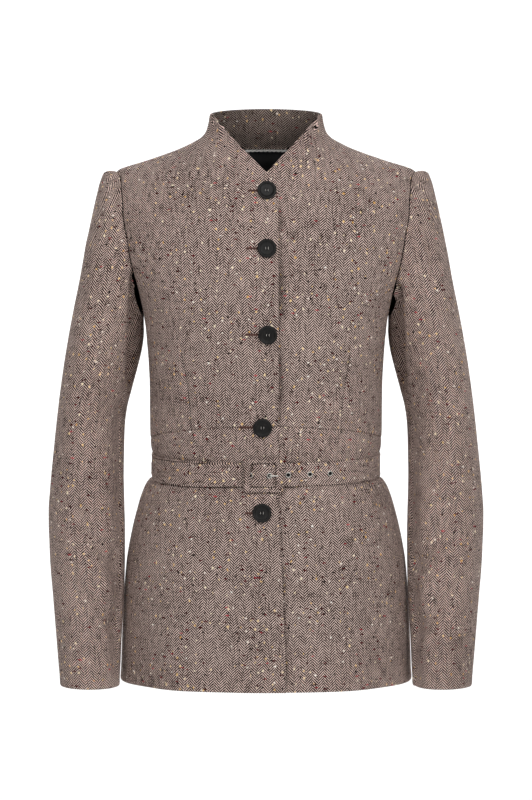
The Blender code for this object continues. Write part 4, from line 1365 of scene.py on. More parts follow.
@dataclass
class Bodice:
    """Two fronts and the back, each with its share of the grown-on collar, down to the waist seam."""

    cloth: BodyCloth
    rim: float = 32.0
    v_point: float = -30.5      # where the two neck edges cross on the centre line
    v_slope: float = 0.977
    collar_rows: int = 22
    arm_rows: int = 58
    lower_rows: int = 44
    front_columns: int = 84
    back_columns: int = 104
    darts: tuple[Fold, ...] = (
        Fold(101.0, -246.0, 91.5, -305.0, 1.8, -1.6),
        Fold(91.5, -305.0, 90.0, -336.0, 1.8, -1.7),
        Fold(103.0, -236.0, 101.0, -250.0, 4.0, -0.7),
    )
    seeds: tuple[int, int] = (3, 8)         # variation of the folds, right and left
    # radius of the dark tube of painted shade in each dart's fold
    dart_shade_line: float = 0.32
    dart_past: float = 2.0      # the dark line of painted shade runs on this far below the seam's level in front
    under_edge: tuple[Fold, ...] = (        # hollows beside the upper front's free edge
        Fold(13.0, -62.0, 13.0, -116.0, 6.0, -4.4),
        Fold(13.5, -120.0, 13.0, -216.0, 8.0, -8.5),
        Fold(13.5, -228.0, 13.0, -334.0, 7.0, -6.0),
    )
    front_folds: tuple[Fold, ...] = (
        Fold(150.0, -214.0, 96.0, -240.0, 9.0, -1.0),
        Fold(148.0, -230.0, 104.0, -254.0, 8.0, 0.8),
        Fold(146.0, -252.0, 112.0, -270.0, 8.0, -0.7),
        Fold(150.0, -78.0, 138.0, -160.0, 10.0, -1.0),
        Fold(132.0, -92.0, 122.0, -150.0, 9.0, 0.6),
        Fold(120.0, -52.0, 70.0, -86.0, 15.0, -0.7),
        Fold(134.0, -318.0, 104.0, -334.0, 7.0, -0.9),
        Fold(128.0, -300.0, 108.0, -312.0, 7.0, 0.5),
        Fold(72.0, -322.0, 34.0, -306.0, 8.0, 0.6),
        Fold(60.0, -300.0, 26.0, -276.0, 9.0, -0.5),
        Fold(40.0, -150.0, 18.0, -128.0, 9.0, -0.4),
        Fold(44.0, -196.0, 20.0, -214.0, 9.0, -0.4),
    )
    back_folds: tuple[Fold, ...] = (
        Fold(-132.0, -96.0, -120.0, -186.0, 10.0, -1.2),
        Fold(130.0, -92.0, 122.0, -178.0, 10.0, -1.0),
        Fold(-112.0, -110.0, -104.0, -176.0, 9.0, 0.8),
        Fold(108.0, -118.0, 98.0, -190.0, 9.0, 0.7),
        Fold(-110.0, -318.0, -52.0, -336.0, 8.0, -1.2),
        Fold(92.0, -310.0, 40.0, -334.0, 8.0, -1.0),
        Fold(-96.0, -300.0, -36.0, -318.0, 9.0, 0.9),
        Fold(104.0, -326.0, 56.0, -342.0, 7.0, 0.8),
        Fold(-40.0, -60.0, 44.0, -64.0, 12.0, -0.8),
        Fold(-20.0, -300.0, 26.0, -330.0, 9.0, -0.7),
    )

    def outer_ends(self, facing: int) -> list[tuple[float, float, float]]:
        """Level and depth of each row's outer end, and the row's place from rim to waist seam.

        Args:
            facing: 1 for a front, -1 for the back.

        Returns:
            Level, depth from the side seam, and place: 0 to 1 collar and shoulder, to 2 armhole, to 3 below.
        """
        armhole = self.cloth.armhole
        collar = self.rim - armhole.top
        ends = [(self.rim - d, 0.0, d / collar) for d in spacing(collar, self.collar_rows, True, False)]
        for turn in np.linspace(0.0, 180.0, self.arm_rows + 1)[1:]:
            depth = abs(float(armhole.depth(facing * turn)))
            ends.append((float(armhole.level(turn)), depth if turn < 180 else 0.0, 1 + turn / 180))
        below = armhole.bottom - self.cloth.waist_side
        for drop in spacing(below, self.lower_rows, False, True)[1:]:
            ends.append((armhole.bottom - drop, 0.0, 2 + drop / below))
        return ends

    def front_rows(self, overlap: float) -> list[tuple[Array, Array]]:
        """Rows of a front, laid out on the wearer's left.

        Args:
            overlap: its reach past the centre line.

        Returns:
            Angles and levels of each row.
        """
        armhole = self.cloth.armhole
        corner = self.v_point - overlap * self.v_slope
        rows = []
        for level, depth, place in self.outer_ends(1):
            if place <= 1:
                inner = self.rim + (corner - self.rim) * place
            elif place <= 2:
                inner = corner + (armhole.bottom - corner) * (place - 1)
            else:
                inner = armhole.bottom + (self.cloth.waist_front - armhole.bottom) * (place - 2)
            x = -min(overlap, -(inner - self.v_point) / self.v_slope)
            rows.append(self.cloth.front_row(x, inner, depth, level, self.front_columns))
        return rows

    def back_rows(self) -> list[tuple[Array, Array]]:
        """Rows of the back from rim to waist seam.

        Returns:
            Angles and levels of each row.
        """
        armhole, lift = self.cloth.armhole, self.cloth.waist_back - self.cloth.waist_side
        rows = []
        for level, depth, place in self.outer_ends(-1):
            middle = level + lift * max(0.0, place - 2)
            if 1 < place < 2:
                middle = armhole.top + (armhole.bottom - armhole.top) * (place - 1)
            rows.append(self.cloth.back_row(level, depth, middle, self.back_columns))
        return rows

    def build(self) -> None:
        """Make up the two fronts and the back and lay painted shade in the darts' folds."""
        edges = Edges(
            first=Edge.FREE, top=Edge.FREE, first_facing=FRONT_FACING, top_facing=COLLAR_FACING
        )
        closure = self.cloth.closure
        folds = [*self.darts, *varied(self.front_folds, self.seeds[0])]
        rows = self.front_rows(closure.overlap)
        right = self.cloth.front("front_bodice_right", rows, edges, True, folds)
        folds = [*self.darts, *self.under_edge, *varied(self.front_folds, self.seeds[1])]
        rows = self.front_rows(closure.underlap)
        left = self.cloth.front("front_bodice_left", rows, edges, False, folds)
        self.cloth.back("back_bodice", self.back_rows(), Edges(top=Edge.FREE), self.back_folds)
        self.shade_darts(right, left)

    def shade_darts(self, right: bpy.types.Object, left: bpy.types.Object) -> None:
        """Lay a thin dark tube in the fold of each front's dart: painted shade along the fold.

        Args:
            right: the front on the wearer's right.
            left: the front on the wearer's left.
        """
        bpy.context.view_layer.update()
        in_front = -400.0
        heights = np.linspace(self.darts[0].z1, self.cloth.waist_front - self.dart_past, 60)
        first, second = self.darts[:2]
        x = monotone((second.z2, second.z1, first.z1), (second.x2, second.x1, first.x1), heights)
        tubes = Parts()
        for front, sign in ((right, -1), (left, 1)):
            hits = [
                front.ray_cast(Vector((sign * across, in_front, height)) * MM, Vector((0.0, 1.0, 0.0)))[1]
                for across, height in zip(x, heights)
            ]
            # the tube takes the near-black finish: painted shade along the fold
            tubes.add_tube(np.array(hits) / MM, self.dart_shade_line, 6)
        seat(tubes.piece("dart_threads", [self.cloth.tailor.finishes.painted_shade_lines]), "tweed")


@dataclass
class NeckInside:
    """What shows inside the back of the collar: tweed facing, pale twisted edging and black lining."""

    bodice: Bodice
    facing_edge: float = -16.4
    lining_top: float = -20.5
    facing: float = 1.0             # thickness
    lining: float = 1.0
    facing_rows: int = 18
    lining_gap: float = 0.5         # between the lining and the back's inner face
    lining_end: float = 8.0         # above the waist seam
    lining_bare: int = 16           # one column in so many is left out at each side
    edging_end: float = 0.3         # from the shoulder seam
    edging_steps: int = 460
    ply_radius: float = 0.85
    ply_reach: float = 0.95         # of each ply from the cord's middle
    ply_turn: float = 10.4          # length of one turn of the two plies
    lining_folds: tuple[Fold, ...] = (
        Fold(3.0, -22.0, 1.0, -240.0, 5.0, -1.6),
        Fold(12.0, -24.0, 14.0, -230.0, 6.0, 0.8),
        Fold(-60.0, -90.0, -52.0, -260.0, 9.0, -1.0),
        Fold(66.0, -80.0, 58.0, -250.0, 9.0, -0.9),
    )

    def build(self) -> None:
        """Make up the facing and lining and wind the edging."""
        cloth = self.bodice.cloth
        inside = -cloth.tailor.thick
        count = self.bodice.back_columns
        drop = self.bodice.rim - self.facing_edge
        levels = [self.bodice.rim - d for d in spacing(drop, self.facing_rows)]
        rows = [cloth.back_row(level, 0.0, level, count) for level in levels]
        edges = Edges(top=Edge.FREE, top_facing=2 * drop)      # tweed on the whole inside
        facing = cloth.back("neck_facing", rows, edges, [], inside, self.facing)
        # the facing takes the darker copy of the tweed: painted shade inside the collar
        facing.data.materials[0] = cloth.tailor.finishes.painted_shade_copy
        lowest = cloth.waist_side + self.lining_end
        rows = [row for row in self.bodice.back_rows() if self.lining_top > row[1][0] > lowest]
        first = cloth.back_row(self.lining_top, 0.0, self.lining_top, count)
        trim = round((count + 2 * len(EDGE_STEPS) - 2) / self.lining_bare)
        rows = [(angles[trim:-trim], heights[trim:-trim]) for angles, heights in [first, *rows]]
        edges = Edges(Edge.FREE, Edge.FREE, Edge.FREE, Edge.FREE)
        lie = inside - self.lining_gap
        cloth.back("back_lining", rows, edges, self.lining_folds, lie, self.lining, "lining")
        self.wind_edging(inside)

    def wind_edging(self, inside: float) -> None:
        """Wind the pale edging between facing and lining from two plies.

        Args:
            inside: how far in the back's inner face lies.
        """
        form = self.bodice.cloth.form
        level = (self.facing_edge + self.lining_top) / 2
        angles, levels = self.bodice.cloth.back_row(level, self.edging_end, level, self.edging_steps)
        normal = form.normal(angles, levels)
        middle = form.plain(angles, levels) + normal * (inside - self.ply_radius - self.ply_reach)
        up = np.cross(normal, unit(np.gradient(middle, axis=0)))
        turn = 2 * np.pi * run_along(middle, 0)[:, None] / self.ply_turn
        plies = Parts()
        for start in (0.0, np.pi):
            wound = normal * np.cos(turn + start) + up * np.sin(turn + start)
            plies.add_tube(middle + wound * self.ply_reach, self.ply_radius, 10)
        finishes = self.bodice.cloth.tailor.finishes
        seat(plies.piece("edging_neck", [finishes.trim]), "trim_cord", "neck_trim")


# Skirt

@dataclass
class Skirt:
    """Three pieces below the waist seam, drawn in under the belt and falling in soft flutes to the hem."""

    cloth: BodyCloth
    first_level: float = -370.0
    top_rows: int = 9
    rows: int = 88
    front_columns: int = 60
    back_columns: int = 122
    seeds: tuple[int, int] = (21, 34)       # variation of the folds, right and left
    under_edge: Fold = Fold(14.0, -420.0, 22.5, -660.0, 6.0, -5.0)    # beside the upper front's free edge
    front_folds: tuple[Fold, ...] = (
        Fold(30.0, -410.0, 33.0, -452.0, 6.0, -0.7),
        Fold(52.0, -409.0, 56.0, -476.0, 7.0, 0.9),
        Fold(68.0, -410.0, 76.0, -462.0, 6.0, -1.1),
        Fold(86.0, -409.0, 95.0, -500.0, 8.0, 1.0),
        Fold(103.0, -410.0, 114.0, -468.0, 6.0, -1.2),
        Fold(119.0, -409.0, 134.0, -486.0, 7.0, 0.9),
        Fold(132.0, -410.0, 150.0, -456.0, 6.0, -0.8),
        Fold(70.0, -520.0, 78.0, -640.0, 14.0, 0.9),
        Fold(118.0, -500.0, 126.0, -630.0, 13.0, -1.0),
    )
    back_folds: tuple[Fold, ...] = (
        Fold(-118.0, -410.0, -134.0, -470.0, 7.0, -1.2),
        Fold(-96.0, -409.0, -106.0, -492.0, 8.0, 1.0),
        Fold(-74.0, -410.0, -82.0, -458.0, 6.0, -1.1),
        Fold(-46.0, -409.0, -50.0, -510.0, 9.0, 0.9),
        Fold(-18.0, -410.0, -20.0, -470.0, 7.0, -1.0),
        Fold(12.0, -409.0, 12.0, -486.0, 8.0, 0.9),
        Fold(36.0, -410.0, 40.0, -462.0, 6.0, -1.2),
        Fold(66.0, -409.0, 73.0, -500.0, 8.0, 1.1),
        Fold(92.0, -410.0, 104.0, -466.0, 7.0, -1.0),
        Fold(120.0, -409.0, 136.0, -480.0, 7.0, 0.8),
    )

    def levels(self, waist: float) -> Array:
        """Levels of the rows' ends below a waist seam.

        Args:
            waist: level of the waist seam there.

        Returns:
            The levels from the seam to the hem.
        """
        top = spacing(self.cloth.waist_front - self.first_level, self.top_rows, True, False)
        share = top / top[-1]
        fall = spacing(self.first_level - self.cloth.form.hem, self.rows, False, True)[1:]
        return np.concatenate([waist + (self.first_level - waist) * share, self.first_level - fall])

    def front_rows(self, overlap: float) -> list[tuple[Array, Array]]:
        """Rows of a front skirt, laid out on the wearer's left.

        Args:
            overlap: its reach past the centre line.

        Returns:
            Angles and levels of each row.
        """
        form, drift = self.cloth.form, self.cloth.closure.drift
        rows = []
        for inner, outer in zip(self.levels(self.cloth.waist_front), self.levels(self.cloth.waist_side)):
            reach = overlap + drift * float(ease((form.belt_level - inner) / (form.belt_level - form.hem)))
            rows.append(self.cloth.front_row(-reach, inner, 0.0, outer, self.front_columns))
        return rows

    def build(self) -> None:
        """Make up the two front skirts and the back skirt."""
        closure = self.cloth.closure
        edges = Edges(
            first=Edge.FREE, bottom=Edge.FREE, first_facing=FRONT_FACING, bottom_facing=HEM_FACING
        )
        folds = varied(self.front_folds, self.seeds[0])
        self.cloth.front("front_skirt_right", self.front_rows(closure.overlap), edges, True, folds)
        folds = [self.under_edge, *varied(self.front_folds, self.seeds[1])]
        self.cloth.front("front_skirt_left", self.front_rows(closure.underlap), edges, False, folds)
        ends = zip(self.levels(self.cloth.waist_side), self.levels(self.cloth.waist_back))
        rows = [self.cloth.back_row(level, 0.0, middle, self.back_columns) for level, middle in ends]
        edges = Edges(bottom=Edge.FREE, bottom_facing=HEM_FACING)
        self.cloth.back("back_skirt", rows, edges, self.back_folds)


# Sleeves

class Side(Enum):
    """Side of the wearer, as a sign of X."""

    LEFT = 1
    RIGHT = -1


class SleevePart(Enum):
    """Pieces of a two-piece sleeve."""

    UPPER = "upper"
    UNDER = "under"


@dataclass(frozen=True)
class Crease:
    """Crease of a sleeve seen from the front: ends, half width, depth, and 1 for in front or -1 for behind."""

    x1: float
    z1: float
    x2: float
    z2: float
    spread: float
    depth: float
    face: int


@dataclass
class Sleeves:
    """Two-piece sleeves, set into the armholes and bent a little forwards at the elbow."""

    form: WornForm
    armhole: Armhole
    tailor: Tailor
    settle: float = 5.0         # rings over which the sleeve leaves the armhole's own line
    rows: int = 168
    upper_columns: int = 56
    under_columns: int = 26
    degree: float = 0.62        # millimetres round the sleeve for each degree
    spaced_at: float = 60.0     # turn of the line along which the rows are evenly spaced
    upper_grain: float = 435.0  # turns of the lines along which the warp runs straight
    under_grain: float = 208.0
    crease_shift: float = 7.0   # small creases lie this much lower on the left and higher on the right
    face_from: float = 0.1      # how far past the side a crease reaches, as a sine of the turn
    face_width: float = 0.6
    crown: int = 2              # ring where the head turns down
    level_from: float = -323.0  # below it the rings are level
    rings: tuple[tuple[float, ...], ...] = (   # inner x and z, outer x and z, middle y, half depth, lean
        (146.8, -212.5, 180.0, -37.5, 4.0, 54.0, 0.0),
        (147.2, -216.0, 187.0, -36.6, 4.0, 55.5, 1.0),
        (147.3, -219.5, 193.8, -38.3, 4.0, 57.0, 2.5),
        (147.5, -224.0, 199.0, -49.0, 4.0, 58.0, 4.0),
        (147.8, -229.0, 203.8, -68.0, 4.0, 59.0, 6.0),
        (148.0, -234.0, 208.6, -91.0, 4.0, 59.5, 8.0),
        (148.6, -239.0, 213.8, -117.0, 4.5, 60.0, 10.0),
        (149.6, -246.0, 218.6, -145.0, 5.0, 60.0, 11.5),
        (151.0, -254.0, 223.6, -173.0, 5.0, 59.5, 12.5),
        (153.0, -263.0, 229.2, -201.0, 5.5, 59.0, 13.0),
        (155.4, -273.0, 234.6, -229.0, 6.0, 58.0, 12.5),
        (158.8, -287.0, 239.8, -257.0, 6.5, 56.5, 11.0),
        (163.0, -304.0, 244.6, -286.0, 7.0, 55.0, 9.0),
        (167.6, -323.0, 248.8, -315.0, 7.0, 54.0, 7.0),
        (170.0, -342.0, 252.0, -340.0, 6.0, 53.0, 5.0),
        (170.9, -362.0, 254.4, -362.0, 4.0, 52.5, 4.0),
        (171.2, -383.0, 256.6, -383.0, 1.0, 52.0, 3.0),
        (171.3, -404.0, 258.8, -404.0, -3.0, 51.5, 2.0),
        (171.0, -425.0, 260.6, -426.0, -7.0, 51.0, 1.0),
        (170.2, -445.0, 262.0, -447.0, -11.5, 50.5, 0.0),
        (169.8, -464.0, 261.8, -466.0, -16.0, 50.0, 0.0),
        (169.7, -482.0, 261.0, -484.0, -20.5, 49.5, 0.0),
        (169.7, -500.0, 260.2, -502.0, -25.0, 49.0, 0.0),
        (169.9, -519.0, 258.9, -521.0, -29.5, 48.0, 0.0),
        (170.4, -538.0, 257.1, -540.0, -33.5, 47.0, 0.0),
        (171.4, -557.0, 255.5, -559.0, -37.0, 46.0, 0.0),
        (172.5, -577.0, 253.8, -579.0, -40.5, 45.0, 0.0),
        (173.8, -600.0, 252.0, -601.0, -44.0, 43.5, 0.0),
        (174.9, -626.0, 249.9, -626.0, -47.5, 42.0, 0.0),
        (176.6, -654.0, 247.4, -654.0, -50.0, 41.0, 0.0),
    )
    seams: tuple[tuple[float, float, float], ...] = (   # ring, and the turns of the front and back seam
        (0, 120.0, 260.0), (4, 130.0, 260.0), (9, 148.0, 258.0),
        (13, 163.0, 254.0), (17, 166.0, 252.0), (29, 167.0, 250.0),
    )
    creases: tuple[Crease, ...] = (
        Crease(226.0, -446.0, 180.0, -505.0, 13.0, 7.2, 1),
        Crease(224.0, -538.0, 180.0, -580.0, 12.0, 6.6, 1),
        Crease(188.0, -372.0, 214.0, -388.0, 11.0, 2.4, 1),
        Crease(236.0, -352.0, 190.0, -400.0, 13.0, 3.2, -1),
        Crease(232.0, -410.0, 186.0, -450.0, 12.0, 2.6, -1),
    )
    small_creases: tuple[Crease, ...] = (
        Crease(158.0, -168.0, 162.0, -300.0, 4.5, 8.0, 1),
        Crease(151.0, -186.0, 158.0, -292.0, 6.0, 8.0, 1),
        Crease(170.0, -336.0, 172.0, -446.0, 11.0, 5.0, 1),
        Crease(172.0, -452.0, 174.0, -530.0, 10.0, 3.6, 1),
        Crease(172.0, -536.0, 176.0, -636.0, 11.0, 6.0, 1),
        Crease(206.0, -470.0, 176.0, -494.0, 6.0, 1.0, 1),
        Crease(232.0, -486.0, 192.0, -534.0, 10.0, -2.8, 1),
        Crease(214.0, -560.0, 180.0, -600.0, 8.0, -1.0, 1),
        Crease(228.0, -396.0, 190.0, -424.0, 10.0, -0.9, 1),
        Crease(186.0, -330.0, 210.0, -348.0, 9.0, 0.9, 1),
        Crease(200.0, -118.0, 186.0, -190.0, 10.0, 1.3, 1),
        Crease(212.0, -132.0, 200.0, -196.0, 9.0, -0.8, 1),
        Crease(176.0, -250.0, 186.0, -296.0, 8.0, 1.0, 1),
        Crease(226.0, -330.0, 186.0, -352.0, 8.0, 1.4, -1),
        Crease(240.0, -380.0, 200.0, -424.0, 9.0, -1.4, -1),
        Crease(214.0, -462.0, 184.0, -486.0, 9.0, 1.2, -1),
        Crease(206.0, -120.0, 184.0, -196.0, 11.0, 1.6, -1),
        Crease(226.0, -540.0, 192.0, -566.0, 10.0, 1.3, -1),
        Crease(220.0, -588.0, 190.0, -606.0, 8.0, -0.9, -1),
    )

    def ring_points(self, turn: Array, station: Array) -> Array:
        """Points of the plain sleeve on the wearer's left.

        Args:
            turn: degrees round the sleeve, 0 outside and 90 in front.
            station: ring along it.

        Returns:
            The points.
        """
        numbers = np.arange(len(self.rings))
        values = [monotone(numbers, column, station) for column in zip(*self.rings)]
        inner_x, inner_z, outer_x, outer_z, middle, half, lean = values
        c, s = np.cos(np.radians(turn)), np.sin(np.radians(turn))
        x = (inner_x + outer_x) / 2 + (outer_x - inner_x) / 2 * c + lean * s
        z = (inner_z + outer_z) / 2 + (outer_z - inner_z) / 2 * c
        return np.stack([x, middle - half * s, z], axis=-1)

    def seam_points(self, turn: Array) -> Array:
        """Points of the armhole seam, where the sleeve's head is sewn in.

        Args:
            turn: degrees round the armhole.

        Returns:
            The points.
        """
        level, depth = self.armhole.level(turn), self.armhole.depth(turn)
        reach = np.where(depth > 0, self.form.size("front", level), self.form.size("back", level))
        rest = np.maximum(1 - (np.abs(depth) / reach) ** self.form.size("ridge", level), 0.0)
        x = self.form.size("half_width", level) * rest ** (1 / self.form.size("square", level))
        return np.stack([x, -depth, level], axis=-1)

    def points(self, turn: Array, station: Array) -> Array:
        """Points of the sleeve, which leaves the armhole along the armhole's own line.

        Args:
            turn: degrees round the sleeve.
            station: ring along it.

        Returns:
            The points.
        """
        keep = ease(1.0 - station / self.settle)[..., None]
        start = self.seam_points(turn) - self.ring_points(turn, np.zeros_like(turn))
        return self.ring_points(turn, station) + keep * start

    def crease_depth(self, points: Array, turn: Array, creases: Sequence[Crease]) -> Array:
        """How far creases draw the cloth in.

        Args:
            points: points of the sleeve.
            turn: their turns.
            creases: the creases.

        Returns:
            The distance in at each point.
        """
        total = np.zeros_like(turn)
        for c in creases:
            facing = ease((c.face * np.sin(np.radians(turn)) + self.face_from) / self.face_width)
            fold = Fold(c.x1, c.z1, c.x2, c.z2, c.spread, c.depth)
            total = total + facing * fold_relief([fold], points[..., 0], points[..., 2], 0.0)
        return total

    def flat_cut(self, points: Array, turn: Array, grain: float) -> Array:
        """Places on the flat cut, with the warp along the arm up into the sleeve's head.

        Args:
            points: points of the plain sleeve.
            turn: their turns.
            grain: turn of the line along which the warp runs straight.

        Returns:
            Places across and in height.
        """
        inner_x, inner_z, outer_x, outer_z, middle, depth, _ = np.array(self.rings[self.crown:]).T[:, ::-1]
        heights, level = (inner_z + outer_z) / 2, points[..., 2]
        width = outer_x - inner_x
        width = np.where(outer_z > self.level_from, np.interp(self.level_from, outer_z, width), width)
        half, deep = monotone(outer_z, width / 2, level), monotone(heights, depth, level)
        across = (points[..., 0] - monotone(outer_z, outer_x, level) + half) / half
        forward = (monotone(heights, middle, level) - points[..., 1]) / deep
        around = np.radians(turn + (np.degrees(np.arctan2(forward, across)) - turn + 180) % 360 - 180)
        mean, odd = (half**2 + deep**2) / 2, (deep**2 - half**2) / 2
        share = odd / mean
        arcs = [
            angle * (1 - share**2 / 16) + share / 4 * np.sin(2 * angle) - share**2 / 64 * np.sin(4 * angle)
            for angle in (around, np.radians(grain))
        ]
        u = np.sqrt(mean) * (arcs[0] - arcs[1])
        steps = np.sum(np.diff(points, axis=0) ** 2, axis=-1) - np.diff(u, axis=0) ** 2
        rise = np.cumsum(np.sqrt(np.maximum(steps, 0.0))[::-1], axis=0)[::-1]
        return np.stack([u, np.concatenate([rise, np.zeros((1, rise.shape[1]))])], axis=-1)

    def turns(self, part: SleevePart, station: Array) -> Array:
        """Turns of a piece's columns at each station.

        Args:
            part: the upper or the under sleeve.
            station: rings along the sleeve.

        Returns:
            A row of turns for each station, from seam to seam.
        """
        numbers, front, back = zip(*self.seams)
        front, back = monotone(numbers, front, station), monotone(numbers, back, station)
        upper = part is SleevePart.UPPER
        start, end = (back, front + 360.0) if upper else (front, back)
        count = self.upper_columns if upper else self.under_columns
        rows = [spacing((b - a) * self.degree, count) / self.degree + a for a, b in zip(start, end)]
        return np.array(rows)

    def build(self, side: Side) -> None:
        """Make up both pieces of one sleeve.

        Args:
            side: the wearer's side.
        """
        stations = np.linspace(0.0, len(self.rings) - 1.0, 600)
        run = run_along(self.points(np.full_like(stations, self.spaced_at), stations), 0)
        station = np.interp(spacing(float(run[-1]), self.rows), run, stations)
        small_turn, small_step = 0.2, 0.02
        low = np.maximum(station - small_step, 0.0)[:, None]
        high = np.minimum(station + small_step, len(self.rings) - 1.0)[:, None]
        for part in SleevePart:
            turn = self.turns(part, station)
            rings = np.broadcast_to(station[:, None], turn.shape)
            base = self.points(turn, rings)
            around = self.points(turn + small_turn, rings) - self.points(turn - small_turn, rings)
            along = self.points(turn, high + 0 * turn) - self.points(turn, low + 0 * turn)
            normal = unit(np.cross(around, along))
            shift = np.array([0.0, 0.0, self.crease_shift * side.value])
            depth = self.crease_depth(base, turn, self.creases)
            depth = depth + self.crease_depth(base + shift, turn, self.small_creases)
            flip = np.array([float(side.value), 1.0, 1.0])
            grid = ClothGrid(base * flip, normal * flip, -depth)
            grain = self.upper_grain if part is SleevePart.UPPER else self.under_grain
            flat = self.flat_cut(base, turn, grain)
            edges = Edges(top=Edge.EASED, bottom=Edge.FREE, bottom_facing=HEM_FACING)
            name = f"sleeve_{part.value}_{side.name.lower()}"
            self.tailor.make_up(name, grid, edges, flat, side is Side.LEFT)


# Belt and buckle

